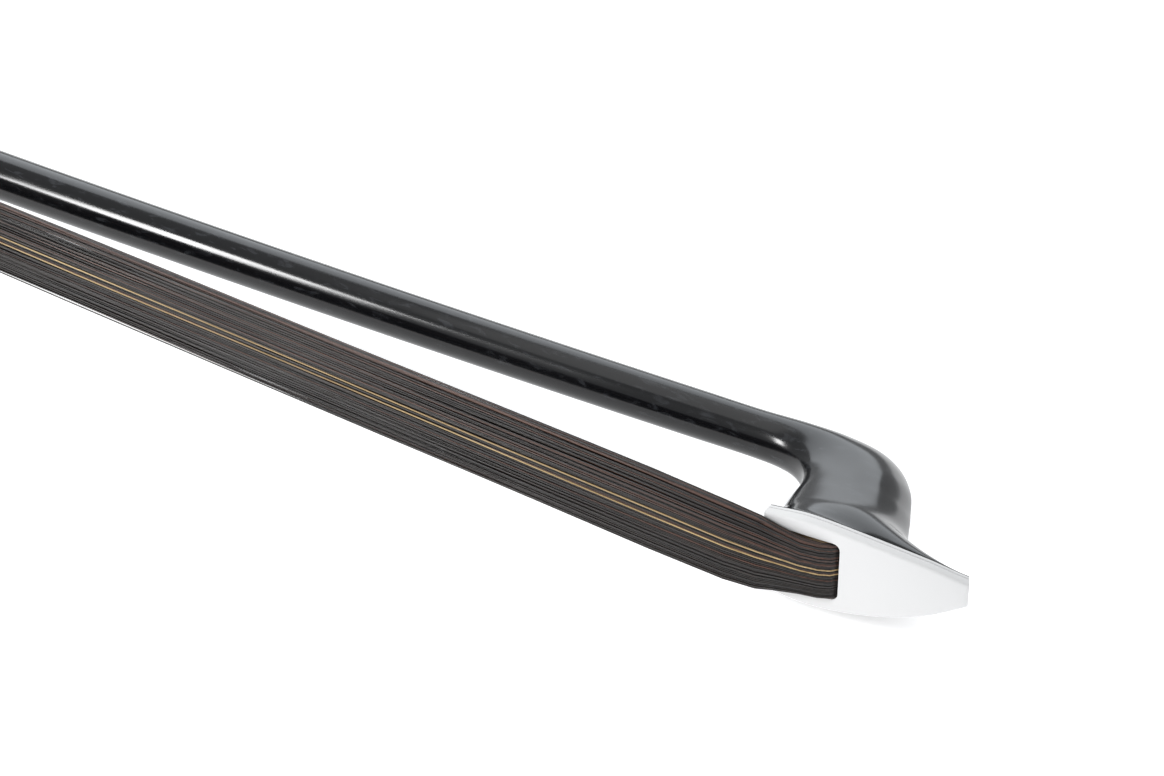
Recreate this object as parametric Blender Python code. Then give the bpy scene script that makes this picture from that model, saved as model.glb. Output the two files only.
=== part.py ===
"""Violin bow with a carbon fibre stick, lying on its side.

Sizes are in metres. Two local frames are used.

Bow frame: x runs along the hair towards the tip, with 0 where the hair leaves the tip plate; y runs from the
hair to the stick, with 0 on the hair's playing face; z runs across the bow, with 0 on its middle plane.

Handle frame: u runs along the straight handle towards the tip, with 0 at the ferrule's mouth; v runs from the
hair to the stick, with 0 on the screw's axis; w runs across. The frog and the adjuster are modelled in it.

The finished bow lies with its tip towards +X, its hair towards -Y and its middle plane level, centred over the
origin and standing on the floor.
"""
import math

import bmesh
import bpy
from mathutils import Vector

# Clearances
GLUE_GAP = 0.0001
SEAT_GAP = 0.0002
RUNNING_GAP = 0.0002
SCREW_GAP = 0.00015

# Hair
HAIR_FREE_LENGTH = 0.650
HAIR_WIDTH_AT_MORTISE = 0.0066
HAIR_WIDTH_AT_PLATE = 0.0092
HAIR_WIDTH_AT_TIP = 0.0100
HAIR_WIDTH_AT_FROG = 0.0112
HAIR_DEPTH_AT_TIP = 0.0010
HAIR_DEPTH_AT_FROG = 0.0007
HAIR_LAYERS = 4
HAIRS_PER_LAYER = 32
HAIR_SPREAD_LENGTH = 0.014
HAIR_RISE_LENGTH = 0.0017
STRAND_FILL = 0.84
ROOT_SQUEEZE = 0.7

# Stick
HANDLE_ACROSS_FLATS = 0.0086
STICK_DIAMETER_AT_HEAD = 0.0054
TAPER_FULLNESS = 0.256
STICK_HEIGHT_AT_HEAD = 0.0215
STICK_RISE_AT_HEAD = math.radians(5.52)
HANDLE_TILT = math.radians(3.7)
HANDLE_STRAIGHT_LENGTH = 0.028
OCTAGON_END = 0.004
OCTAGON_FADE_LENGTH = 0.018
STICK_STATION_STEP = 0.025
BUTT_BEVEL = 0.0003
NIPPLE_DIAMETER = 0.0048
NIPPLE_LENGTH = 0.0027

# Head and tip plate
PLATE_LENGTH = 0.0218
PLATE_THICKNESS = 0.0011
PLATE_REAR_HEIGHT = 0.0014
PLATE_SLOPE = 0.11
PLATE_CURL = 0.0034
PLATE_CURL_POWER = 3.4
PLATE_EDGE_BEVEL = 0.00015
LINER_THICKNESS = 0.0004
HEAD_BLEND_LENGTH = 0.0135
HEAD_RING_COUNT = 22

# Half-widths of the tip plate, as (share of its length, half-width)
PLATE_HALF_WIDTHS = ((0.0, 0.0047), (0.23, 0.0052), (0.55, 0.0045), (0.82, 0.0031), (1.0, 0.0014))

# Sections of the head, from the stick to the plate, as (x of the back edge, its share of the head's height,
# front edge's share of the plate's length, its share of the head's height, half-width)
HEAD_SECTIONS = (
    (-0.0092, 0.785, -0.358, 1.125, 0.0029),
    (-0.0062, 0.735, -0.101, 1.155, 0.0031),
    (-0.0039, 0.635, 0.124, 1.120, 0.0034),
    (-0.0026, 0.505, 0.298, 0.940, 0.0037),
    (-0.0018, 0.325, 0.430, 0.690, 0.0041),
    (-0.0010, 0.170, 0.555, 0.440, 0.0046),
    (-0.0005, 0.070, 0.715, 0.315, 0.0050),
)
CHEEK_BACK_POWER = 0.5
CHEEK_RIDGE_POWER = 1.7
BEAK_RIDGE_POWER = 1.1

# Mortise in the head
TIP_MORTISE_REAR = 0.0024
TIP_MORTISE_FRONT = 0.0089
TIP_MORTISE_WIDTH = 0.0070
TIP_MORTISE_DEPTH = 0.0060
TIP_MORTISE_DRAFT = 0.0006
TIP_MORTISE_SIDE_DRAFT = 0.0010

# Frog
FROG_LENGTH = 0.049
FROG_REACH = 0.0243
FROG_TOP_WIDTH = 0.0099
FROG_TO_BUTT = 0.003
FROG_EDGE = 0.0004
FROG_WING_HEIGHT = 0.0023
CHEEK_TOP_DROP = 0.0008
THUMB_EDGE = 0.0011
THROAT_DEPTH = 0.0060
THROAT_EDGE = 0.0013
TONGUE_BLEND = 0.0050
FROG_FORWARD_TRAVEL = 0.0040
FROG_BACKWARD_TRAVEL = 0.0015

# Ferrule and spread wedge
FERRULE_LENGTH = 0.0085
FERRULE_WIDTH = 0.0135
FERRULE_HEIGHT = 0.0080
FERRULE_SIDE_HEIGHT = 0.0034
FERRULE_WALL = 0.0006
TONGUE_SETBACK = 0.0008
WEDGE_LENGTH = 0.0042

# Slide, heel plate and underslide
SLIDE_MOUTH_WIDTH = 0.0094
SLIDE_DOVETAIL = 0.0007
SLIDE_BASE_THICKNESS = 0.0013
PEARL_THICKNESS = 0.0010
HEEL_PLATE_THICKNESS = 0.0008
HEEL_FOOT_LENGTH = 0.0070
UNDERSLIDE_THICKNESS = 0.0005
UNDERSLIDE_WING = 0.0016

# Mortise in the frog
FROG_MORTISE_FRONT = 0.0130
FROG_MORTISE_LENGTH = 0.0076
FROG_MORTISE_WIDTH = 0.0074
FROG_MORTISE_DEPTH = 0.0064
KNOT_HEIGHT = 0.0021
KNOT_LENGTH = 0.0030

# Eyes in the frog's cheeks
EYE_SETBACK = 0.0290
EYE_DROP = 0.0135
EYE_RING_DIAMETER = 0.0088
EYE_PEARL_DIAMETER = 0.0062
EYE_THICKNESS = 0.0012

# Screw, eyelet and button
SCREW_DIAMETER = 0.0030
SCREW_BORE_CLEARANCE = 0.00025
SCREW_REACH = 0.0160
EYELET_SETBACK = 0.0275
EYELET_LENGTH = 0.0046
EYELET_WIDTH = 0.0042
EYELET_HEIGHT = 0.0050
EYELET_BEVEL = 0.0004
SHANK_DIAMETER = 0.0032
SHANK_LENGTH = 0.0105
BUTTON_ACROSS_FLATS = 0.0083
BUTTON_GROOVE_DEPTH = 0.0003
BUTTON_FRONT_RING_LENGTH = 0.0036
BUTTON_CORE_LENGTH = 0.0062
BUTTON_REAR_RING_LENGTH = 0.0050
BUTTON_PEARL_DIAMETER = 0.0054
BUTTON_PEARL_THICKNESS = 0.0008

# Grip
LEATHER_THICKNESS = 0.0011
LEATHER_LENGTH = 0.030
LEATHER_SKIVE = 0.004
LEATHER_CLEARANCE = 0.0006
WINDING_TURNS = 24
WINDING_PITCH = 0.0026
WINDING_STRIP_WIDTH = 0.0020
WINDING_STRIP_THICKNESS = 0.00035
WINDING_POINTS_PER_TURN = 16

# Facets
SECTION_POINTS = 24
ROUND_SIDES = 24
DOME_STEPS = 12
THROAT_STEPS = 10
SHARP_ANGLE = math.radians(32)

# The exact solver leaves open edges where small cuts meet the stick's and the plate's curved faces
FINE_SOLVER = "MANIFOLD"

# Worked out from the sizes above
ACROSS = Vector((0.0, 0.0, 1.0))
U_AXIS = Vector((math.cos(HANDLE_TILT), -math.sin(HANDLE_TILT), 0.0))
V_AXIS = Vector((math.sin(HANDLE_TILT), math.cos(HANDLE_TILT), 0.0))
HANDLE_ORIGIN = Vector((-HAIR_FREE_LENGTH, 0.0, 0.0)) + V_AXIS * FROG_REACH
HANDLE_RADIUS = HANDLE_ACROSS_FLATS / 2
HEAD_RADIUS = STICK_DIAMETER_AT_HEAD / 2
HANDLE_FRONT = HANDLE_ORIGIN + U_AXIS * HANDLE_STRAIGHT_LENGTH
HALF_FACET = math.tan(math.pi / 8)
DIAGONAL = math.sqrt(0.5)

PLATE_SEAT_DEPTH = PLATE_THICKNESS + LINER_THICKNESS + 2 * GLUE_GAP

U_BUTT = -FROG_LENGTH - FROG_TO_BUTT
U_EYELET = -EYELET_SETBACK
U_HEEL_FACE = -FROG_LENGTH + HEEL_PLATE_THICKNESS + SEAT_GAP
U_FERRULE_REAR = -FERRULE_LENGTH
U_FROG_FRONT = U_FERRULE_REAR - SEAT_GAP
U_SLIDE_REAR = -FROG_LENGTH + HEEL_FOOT_LENGTH
U_MORTISE_FRONT = -FROG_MORTISE_FRONT
U_MORTISE_REAR = U_MORTISE_FRONT - FROG_MORTISE_LENGTH

V_HAIR = -FROG_REACH
V_BOTTOM = V_HAIR - SEAT_GAP - FERRULE_WALL
V_DOME = V_BOTTOM + FERRULE_SIDE_HEIGHT
V_FERRULE_TOP = V_BOTTOM + FERRULE_HEIGHT
V_SLIDE_FLOOR = V_BOTTOM + PEARL_THICKNESS + SLIDE_BASE_THICKNESS + 2 * SEAT_GAP
V_HAIR_IN_FROG = V_SLIDE_FLOOR + SEAT_GAP
V_HAIR_ROOF = V_HAIR_IN_FROG + HAIR_DEPTH_AT_FROG + SEAT_GAP
V_MORTISE_TOP = V_HAIR_ROOF + FROG_MORTISE_DEPTH
UNDERSLIDE_INNER = HANDLE_RADIUS + RUNNING_GAP
UNDERSLIDE_OUTER = UNDERSLIDE_INNER + UNDERSLIDE_THICKNESS
CHANNEL_RADIUS = UNDERSLIDE_OUTER + SEAT_GAP
V_THROAT_TOP = -CHANNEL_RADIUS - THUMB_EDGE
V_FROG_TOP = -CHANNEL_RADIUS + FROG_WING_HEIGHT
V_CHEEK_TOP = -CHANNEL_RADIUS - CHEEK_TOP_DROP


def mix(a, b, share):
    """The value a share of the way from a to b."""
    return a + (b - a) * share


def smooth(share):
    """Ease a share in and out, held between 0 and 1."""
    share = min(max(share, 0.0), 1.0)
    return share * share * (3.0 - 2.0 * share)


def hermite(start, end, start_slope, end_slope, t):
    """A cubic from start to end, with its slopes per unit of t."""
    square = t * t
    cube = square * t
    return (
        (2 * cube - 3 * square + 1) * start
        + (cube - 2 * square + t) * start_slope
        + (3 * square - 2 * cube) * end
        + (cube - square) * end_slope
    )


def curve_through(points, place):
    """A smooth curve through tuples spaced one apart, read at place."""
    last = len(points) - 1
    first = min(max(int(place), 0), last - 1)
    before = points[max(first - 1, 0)]
    after = points[min(first + 2, last)]
    return [
        hermite(p1, p2, (p2 - p0) / 2, (p3 - p1) / 2, place - first)
        for p0, p1, p2, p3 in zip(before, points[first], points[first + 1], after)
    ]


def curve_value(pairs, place):
    """A smooth curve through (place, value) pairs, read at place."""
    last = len(pairs) - 1
    first = 0
    while first < last - 1 and place > pairs[first + 1][0]:
        first += 1
    slopes = []
    for index in (first, first + 1):
        low = pairs[max(index - 1, 0)]
        high = pairs[min(index + 1, last)]
        slopes.append((high[1] - low[1]) / (high[0] - low[0]))
    (x0, y0), (x1, y1) = pairs[first], pairs[first + 1]
    span = x1 - x0
    return hermite(y0, y1, slopes[0] * span, slopes[1] * span, (place - x0) / span)


def material(name, colour, roughness, metallic=0.0):
    """A plain finish for one kind of piece."""
    finish = bpy.data.materials.new(name)
    finish.use_nodes = True
    shader = finish.node_tree.nodes["Principled BSDF"]
    shader.inputs["Base Color"].default_value = (*colour, 1.0)
    shader.inputs["Roughness"].default_value = roughness
    shader.inputs["Metallic"].default_value = metallic
    return finish


def cap(bm, loop):
    """Close a loop that is mirrored about its first point, with faces that run straight across."""
    half = len(loop) // 2
    bm.faces.new((loop[0], loop[1], loop[-1]))
    for j in range(1, half - 1):
        bm.faces.new((loop[j], loop[j + 1], loop[-j - 1], loop[-j]))
    bm.faces.new((loop[half - 1], loop[half], loop[half + 1]))


def skin(bm, loops):
    """Join each loop to the next with a band of faces."""
    count = len(loops[0])
    for low, high in zip(loops, loops[1:]):
        for j in range(count):
            k = (j + 1) % count
            bm.faces.new((low[j], low[k], high[k], high[j]))


def add_loops(bm, rings):
    """Add the points of several rings."""
    return [[bm.verts.new(point) for point in ring] for ring in rings]


def loft(bm, rings, flat_start=False):
    """A solid through rings that are mirrored about their first points, whose ends may be curved."""
    loops = add_loops(bm, rings)
    skin(bm, loops)
    if flat_start:
        bm.faces.new(loops[0])
    else:
        cap(bm, loops[0])
    cap(bm, loops[-1])


def loft_flat(bm, rings):
    """A solid through rings whose first and last are flat."""
    loops = add_loops(bm, rings)
    skin(bm, loops)
    bm.faces.new(loops[0])
    bm.faces.new(loops[-1])


def ring_round(bm, rings):
    """A solid with a hole right through, whose rings go along its outside and back along its inside."""
    loops = add_loops(bm, rings)
    skin(bm, loops + [loops[0]])


def sleeve(bm, outer, inner):
    """A solid with a hole right through, from its outer and its inner rings."""
    ring_round(bm, outer + inner[::-1])


def block(bm, low, high):
    """A box between two corners."""
    (x0, y0, z0), (x1, y1, z1) = low, high
    base = [(x0, y0), (x1, y0), (x1, y1), (x0, y1)]
    loft_flat(bm, [[(x, y, z) for x, y in base] for z in (z0, z1)])


def prism(bm, outline, u0, u1):
    """A (v, w) outline drawn along u."""
    loft_flat(bm, [[(u, v, w) for v, w in outline] for u in (u0, u1)])


def turned(bm, profile, sides=ROUND_SIDES):
    """A round solid about the u axis, from (u, radius) pairs."""
    step = math.tau / sides
    rings = [
        [(u, -r * math.cos(j * step), r * math.sin(j * step)) for j in range(sides)]
        for u, r in profile
    ]
    loft_flat(bm, rings)


def finish_mesh(name, bm):
    """Turn a closed shape outwards and make its mesh, smooth except at its edges."""
    bmesh.ops.recalc_face_normals(bm, faces=bm.faces)
    mesh = bpy.data.meshes.new(name)
    bm.to_mesh(mesh)
    bm.free()
    mesh.shade_smooth()
    mesh.set_sharp_from_angle(angle=SHARP_ANGLE)
    return mesh


def add_part(name, bm, finish, parent):
    """Put a finished piece in the scene."""
    part = bpy.data.objects.new(name, finish_mesh(name, bm))
    part.data.materials.append(finish)
    part.parent = parent
    bpy.context.collection.objects.link(part)
    return part


def add_cutter(name, bm, parent):
    """Put a shape in the scene that only cuts others."""
    shape = bpy.data.objects.new(name, finish_mesh(name, bm))
    shape.parent = parent
    shape.hide_render = True
    shape.display_type = "WIRE"
    bpy.context.collection.objects.link(shape)
    return shape


def combine(part, shape, operation="DIFFERENCE", solver="EXACT"):
    """Cut a shape out of a part, or join it on."""
    modifier = part.modifiers.new(shape.name, "BOOLEAN")
    modifier.object = shape
    modifier.operation = operation
    modifier.solver = solver


def add_empty(name, place, turn, parent):
    """A frame that pieces are placed in."""
    frame = bpy.data.objects.new(name, None)
    frame.location = place
    frame.rotation_euler = turn
    frame.parent = parent
    bpy.context.collection.objects.link(frame)
    return frame


def handle_point(u, v=0.0, w=0.0):
    """A point of the handle frame, in the bow frame."""
    return HANDLE_ORIGIN + U_AXIS * u + V_AXIS * v + ACROSS * w


def stick_axis(x):
    """The stick's axis at x: its height above the hair, and its slope."""
    handle_slope = -math.tan(HANDLE_TILT)
    if x <= HANDLE_FRONT.x:
        return HANDLE_ORIGIN.y + handle_slope * (x - HANDLE_ORIGIN.x), handle_slope
    head_slope = math.tan(STICK_RISE_AT_HEAD)
    span = -HANDLE_FRONT.x
    ends = (HANDLE_FRONT.y, STICK_HEIGHT_AT_HEAD, handle_slope * span, head_slope * span)
    step = span / 1000
    height = hermite(*ends, (x - HANDLE_FRONT.x) / span)
    ahead = hermite(*ends, (x + step - HANDLE_FRONT.x) / span)
    return height, (ahead - height) / step


def stick_radius(x):
    """The stick's radius at x, thinning from the handle to the head."""
    share = min(max(x / HANDLE_FRONT.x, 0.0), 1.0)
    share *= 1.0 + TAPER_FULLNESS * (1.0 - share)
    return mix(HEAD_RADIUS, HANDLE_RADIUS, share)


def octagon_share(u):
    """How far the handle's section is an octagon, from 1 at the frog to 0 past the leather."""
    return 1.0 - smooth((u - OCTAGON_END) / OCTAGON_FADE_LENGTH)


def section(radius, octagon):
    """Points round a section from the hair side, between a circle and an octagon of the same flats."""
    points = []
    for j in range(SECTION_POINTS):
        quarter, step = divmod(j, SECTION_POINTS // 4)
        on_circle = math.radians(15.0 * step)
        on_octagon = math.radians((0.0, 22.5, 33.75, 45.0, 56.25, 67.5)[step])
        angle = quarter * math.pi / 2 + mix(on_circle, on_octagon, octagon)
        from_flat = (angle + math.pi / 8) % (math.pi / 4) - math.pi / 8
        reach = mix(radius, radius / math.cos(from_flat), octagon)
        points.append((-reach * math.cos(angle), reach * math.sin(angle)))
    return points


def stick_ring(x, grow=0.0, radius=None):
    """The stick's section at x, square to its axis and larger by grow."""
    height, slope = stick_axis(x)
    normal = Vector((-slope, 1.0, 0.0)).normalized()
    centre = Vector((x, height, 0.0))
    reach = (stick_radius(x) if radius is None else radius) + grow
    octagon = octagon_share((x - HANDLE_ORIGIN.x) / U_AXIS.x)
    return [centre + normal * v + ACROSS * w for v, w in section(reach, octagon)]


def handle_ring(u, radius, octagon=1.0):
    """A section round the handle's axis at u, in the bow frame."""
    return [handle_point(u, v, w) for v, w in section(radius, octagon)]


def handle_x(u):
    """The x of the handle's axis at u."""
    return HANDLE_ORIGIN.x + U_AXIS.x * u


def plate_point(share, depth):
    """A point of the tip plate's middle line, depth under its outer face."""
    x = PLATE_LENGTH * share
    slope = PLATE_SLOPE + PLATE_CURL * PLATE_CURL_POWER / PLATE_LENGTH * share ** (PLATE_CURL_POWER - 1.0)
    inward = Vector((-slope, 1.0, 0.0)).normalized()
    face = PLATE_REAR_HEIGHT + PLATE_SLOPE * x + PLATE_CURL * share**PLATE_CURL_POWER
    return Vector((x, face, 0.0)) + inward * depth


def plate_outline():
    """The plate's outline from the middle of its rear edge, as (share of length, half-width) pairs."""
    rear = PLATE_HALF_WIDTHS[0][1]
    pairs = [(0.0, 0.0), (0.0, rear / 2)]
    side_steps = SECTION_POINTS // 2 - 3
    for j in range(side_steps + 1):
        share = j / side_steps
        pairs.append((share, curve_value(PLATE_HALF_WIDTHS, share)))
    pairs.append((1.0, 0.0))
    return pairs


def plate_ring(depth, inset=0.0):
    """The plate's outline at a depth under its outer face, drawn in by inset."""
    side = []
    for share, half_width in plate_outline():
        place = mix(inset, PLATE_LENGTH - inset, share) / PLATE_LENGTH
        side.append(plate_point(place, depth) + ACROSS * max(half_width - inset, 0.0))
    return side + [Vector((p.x, p.y, -p.z)) for p in reversed(side[1:-1])]


def head_stations():
    """Back edge, front edge and half-width of the head's sections, from the stick to the plate."""
    stations = []
    for setback in (1.5 * HEAD_BLEND_LENGTH, HEAD_BLEND_LENGTH):
        ring = stick_ring(-setback)
        back, front = ring[0], ring[SECTION_POINTS // 2]
        stations.append((back.x, back.y, front.x, front.y, stick_radius(-setback)))
    low = plate_point(0.0, PLATE_SEAT_DEPTH)
    high = plate_point(1.0, PLATE_SEAT_DEPTH)
    height = STICK_HEIGHT_AT_HEAD - low.y
    for back_x, back_share, front_share, rise, half_width in HEAD_SECTIONS:
        stations.append(
            (back_x, low.y + back_share * height, front_share * PLATE_LENGTH, low.y + rise * height, half_width)
        )
    stations.append((low.x, low.y, high.x, high.y, curve_value(PLATE_HALF_WIDTHS, 0.5)))
    return stations


def head_ring(stations, place):
    """One section of the head, place counted in stations, turning from the stick's circle to the plate."""
    back_x, back_y, front_x, front_y, half_width = curve_through(stations, place)
    back = Vector((back_x, back_y, 0.0))
    front = Vector((front_x, front_y, 0.0))
    last = len(stations) - 1
    to_cheek = smooth((place - 1.0) / 4.0)
    to_plate = smooth((place - last + 1.6) / 1.6)
    back_power = mix(1.0, CHEEK_BACK_POWER, to_cheek)
    to_beak = smooth((place - last + 4.0) / 3.5)
    ridge_power = mix(1.0, mix(CHEEK_RIDGE_POWER, BEAK_RIDGE_POWER, to_beak), to_cheek)
    side = []
    for j, (share, plate_width) in enumerate(plate_outline()):
        turn = math.pi * j / (SECTION_POINTS // 2)
        across = (1.0 - math.cos(turn)) / 2
        power = back_power if across < 0.5 else ridge_power
        on_cheek = back.lerp(front, across) + ACROSS * half_width * math.sin(turn) ** power
        on_plate = plate_point(share, PLATE_SEAT_DEPTH) + ACROSS * plate_width
        side.append(on_cheek.lerp(on_plate, to_plate))
    side[0].z = 0.0
    side[-1].z = 0.0
    return side + [Vector((p.x, p.y, -p.z)) for p in reversed(side[1:-1])]


def stick_rings():
    """All sections of the stick, from the nipple at its butt to the plate's seat."""
    rings = [
        handle_ring(U_BUTT - NIPPLE_LENGTH, NIPPLE_DIAMETER / 2, 0.0),
        handle_ring(U_BUTT, NIPPLE_DIAMETER / 2, 0.0),
        handle_ring(U_BUTT, HANDLE_RADIUS - BUTT_BEVEL),
        handle_ring(U_BUTT + BUTT_BEVEL, HANDLE_RADIUS),
    ]
    fade_steps = 5
    for step in range(fade_steps + 1):
        rings.append(stick_ring(handle_x(OCTAGON_END + OCTAGON_FADE_LENGTH * step / fade_steps)))
    start = handle_x(OCTAGON_END + OCTAGON_FADE_LENGTH)
    end = -1.5 * HEAD_BLEND_LENGTH
    steps = round((end - start) / STICK_STATION_STEP)
    for step in range(1, steps + 1):
        rings.append(stick_ring(mix(start, end, step / steps)))
    stations = head_stations()
    for step in range(HEAD_RING_COUNT + 1):
        rings.append(head_ring(stations, mix(1.0, len(stations) - 1.0, step / HEAD_RING_COUNT)))
    return rings


def mortise_ring(depth, draft, side_draft, grow):
    """A rectangle round the tip mortise, level with the plate's seat at depth 0."""
    x0 = TIP_MORTISE_REAR + draft - grow
    x1 = TIP_MORTISE_FRONT - draft + grow
    half = TIP_MORTISE_WIDTH / 2 - side_draft + grow
    seat = plate_point((TIP_MORTISE_REAR + TIP_MORTISE_FRONT) / 2 / PLATE_LENGTH, PLATE_SEAT_DEPTH).y
    y = seat + depth
    return [(x0, y, -half), (x1, y, -half), (x1, y, half), (x0, y, half)]


def make_tip_mortise_cutter(parent):
    """The tapered pocket for the hair's end, through the plate and liner and into the head."""
    outside = -2 * PLATE_SEAT_DEPTH
    bm = bmesh.new()
    loft_flat(
        bm,
        [
            mortise_ring(outside, 0.0, 0.0, 0.0),
            mortise_ring(0.0, 0.0, 0.0, 0.0),
            mortise_ring(TIP_MORTISE_DEPTH, TIP_MORTISE_DRAFT, TIP_MORTISE_SIDE_DRAFT, 0.0),
        ],
    )
    return add_cutter("tip_mortise_cutter", bm, parent)


def rounded_slot(bm, u0, u1, half_width, v0, v1):
    """An upright slot with round ends, drawn along v."""
    outline = []
    ends = 8
    for centre, start in ((u1 - half_width, -math.pi / 2), (u0 + half_width, math.pi / 2)):
        for j in range(ends + 1):
            turn = start + math.pi * j / ends
            outline.append((centre + half_width * math.cos(turn), half_width * math.sin(turn)))
    loft_flat(bm, [[(u, v, w) for u, w in outline] for v in (v0, v1)])


def make_stick(finish, bow, handle, mortise):
    """The carbon stick: octagonal handle, cambered round shaft and head in one piece."""
    bm = bmesh.new()
    loft(bm, stick_rings(), flat_start=True)
    stick = add_part("stick", bm, finish, bow)

    bm = bmesh.new()
    half = EYELET_LENGTH / 2 + RUNNING_GAP
    margin = SCREW_DIAMETER / 2
    rounded_slot(
        bm,
        U_EYELET - FROG_BACKWARD_TRAVEL - half - margin,
        U_EYELET + FROG_FORWARD_TRAVEL + half + margin,
        EYELET_WIDTH / 2 + RUNNING_GAP,
        -HANDLE_ACROSS_FLATS,
        EYELET_HEIGHT / 2 + RUNNING_GAP,
    )
    combine(stick, add_cutter("eyelet_slot_cutter", bm, handle), solver=FINE_SOLVER)

    bm = bmesh.new()
    radius = SCREW_DIAMETER / 2 + SCREW_BORE_CLEARANCE
    turned(bm, [(U_BUTT - 2 * NIPPLE_LENGTH, radius), (-SCREW_REACH + SCREW_DIAMETER / 2, radius)])
    combine(stick, add_cutter("screw_bore_cutter", bm, handle), solver=FINE_SOLVER)

    combine(stick, mortise, solver=FINE_SOLVER)


def make_liner_and_plate(liner_finish, plate_finish, bow, mortise):
    """The thin black liner and the white tip plate under the head, both open at the mortise."""
    bm = bmesh.new()
    liner_top = PLATE_THICKNESS + GLUE_GAP + LINER_THICKNESS
    loft(bm, [plate_ring(PLATE_THICKNESS + GLUE_GAP), plate_ring(liner_top)])
    liner = add_part("head_liner", bm, liner_finish, bow)
    combine(liner, mortise, solver=FINE_SOLVER)

    bm = bmesh.new()
    loft(
        bm,
        [
            plate_ring(0.0, PLATE_EDGE_BEVEL),
            plate_ring(PLATE_EDGE_BEVEL),
            plate_ring(PLATE_THICKNESS),
        ],
    )
    plate = add_part("tip_plate", bm, plate_finish, bow)
    combine(plate, mortise, solver=FINE_SOLVER)


def hair_stations():
    """The hair where its loose strands start and end, as (middle, depth direction, depth, width)."""
    root_x = TIP_MORTISE_FRONT - HAIR_DEPTH_AT_TIP
    root_depth = HAIR_DEPTH_AT_TIP * ROOT_SQUEEZE
    root_y = plate_point(root_x / PLATE_LENGTH, 0.0).y + root_depth / 4
    mouth_x = root_x - HAIR_RISE_LENGTH
    mouth_y = plate_point(mouth_x / PLATE_LENGTH, 0.0).y - SEAT_GAP - root_depth / 2
    tip_middle = HAIR_DEPTH_AT_TIP / 2
    frog_middle = V_HAIR + HAIR_DEPTH_AT_FROG / 2
    upright = Vector((0.0, 1.0, 0.0))
    return [
        (Vector((root_x, root_y, 0.0)), upright, root_depth, HAIR_WIDTH_AT_MORTISE),
        (Vector((mouth_x, mouth_y, 0.0)), upright, root_depth, HAIR_WIDTH_AT_MORTISE),
        (Vector((0.0, tip_middle, 0.0)), upright, HAIR_DEPTH_AT_TIP, HAIR_WIDTH_AT_PLATE),
        (Vector((-HAIR_SPREAD_LENGTH, tip_middle, 0.0)), upright, HAIR_DEPTH_AT_TIP, HAIR_WIDTH_AT_TIP),
        (handle_point(0.0, frog_middle), V_AXIS, HAIR_DEPTH_AT_FROG, HAIR_WIDTH_AT_FROG),
        (handle_point(-WEDGE_LENGTH, frog_middle), V_AXIS, HAIR_DEPTH_AT_FROG, HAIR_WIDTH_AT_FROG),
    ]


def strand_ring(station, layer, column):
    """The three corners of one strand at a station."""
    middle, upright, depth, width = station
    layer_pitch = depth / HAIR_LAYERS
    column_pitch = width / HAIRS_PER_LAYER
    centre = (
        middle
        + upright * layer_pitch * (layer - (HAIR_LAYERS - 1) / 2)
        + ACROSS * column_pitch * (column - (HAIRS_PER_LAYER - 1) / 2)
    )
    half_deep = layer_pitch * STRAND_FILL / 2
    half_wide = column_pitch * STRAND_FILL / 2
    return [
        centre - upright * half_deep,
        centre + upright * half_deep - ACROSS * half_wide,
        centre + upright * half_deep + ACROSS * half_wide,
    ]


def slab_ring(middle, upright, depth, width):
    """A flat bundle of hair in section."""
    deep = upright * depth / 2
    wide = ACROSS * width / 2
    return [middle - deep - wide, middle + deep - wide, middle + deep + wide, middle - deep + wide]


def tip_bundle():
    """The bound hair from the mouth of the tip mortise down its front wall to the knot."""
    middle, upright, depth, width = hair_stations()[0]
    wall = TIP_MORTISE_FRONT - TIP_MORTISE_DRAFT - SEAT_GAP - depth / 2
    seat = plate_point(middle.x / PLATE_LENGTH, PLATE_SEAT_DEPTH).y
    bend = Vector((wall, middle.y, 0.0))
    corner = (upright - Vector((1.0, 0.0, 0.0))) * DIAGONAL
    inward = Vector((-1.0, 0.0, 0.0))
    bottom = seat + TIP_MORTISE_DEPTH - KNOT_HEIGHT - 2 * SEAT_GAP
    narrow = width - 2 * TIP_MORTISE_SIDE_DRAFT
    return [
        (middle, upright, depth, width),
        (bend, corner, depth / DIAGONAL, width),
        (Vector((wall, seat, 0.0)), inward, depth, width),
        (Vector((wall, bottom, 0.0)), inward, depth, narrow),
    ]


def frog_bundle():
    """The bound hair from the ferrule, over the plug and down the rear wall of the frog's mortise."""
    middle, upright, depth, width = hair_stations()[-1]
    v_run = V_HAIR_IN_FROG + depth / 2
    u_bend = U_MORTISE_REAR + SEAT_GAP + depth / 2
    narrow = FROG_MORTISE_WIDTH - 4 * SEAT_GAP
    v_end = V_MORTISE_TOP - KNOT_HEIGHT - 2 * SEAT_GAP
    corner = (V_AXIS + U_AXIS) * DIAGONAL
    return [
        (middle, upright, depth, width),
        (handle_point(U_FROG_FRONT, v_run), upright, depth, mix(width, narrow, 0.3)),
        (handle_point(U_MORTISE_FRONT, v_run), upright, depth, narrow),
        (handle_point(u_bend, v_run), corner, depth / DIAGONAL, narrow),
        (handle_point(u_bend, v_end), U_AXIS, depth, narrow),
    ]


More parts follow.
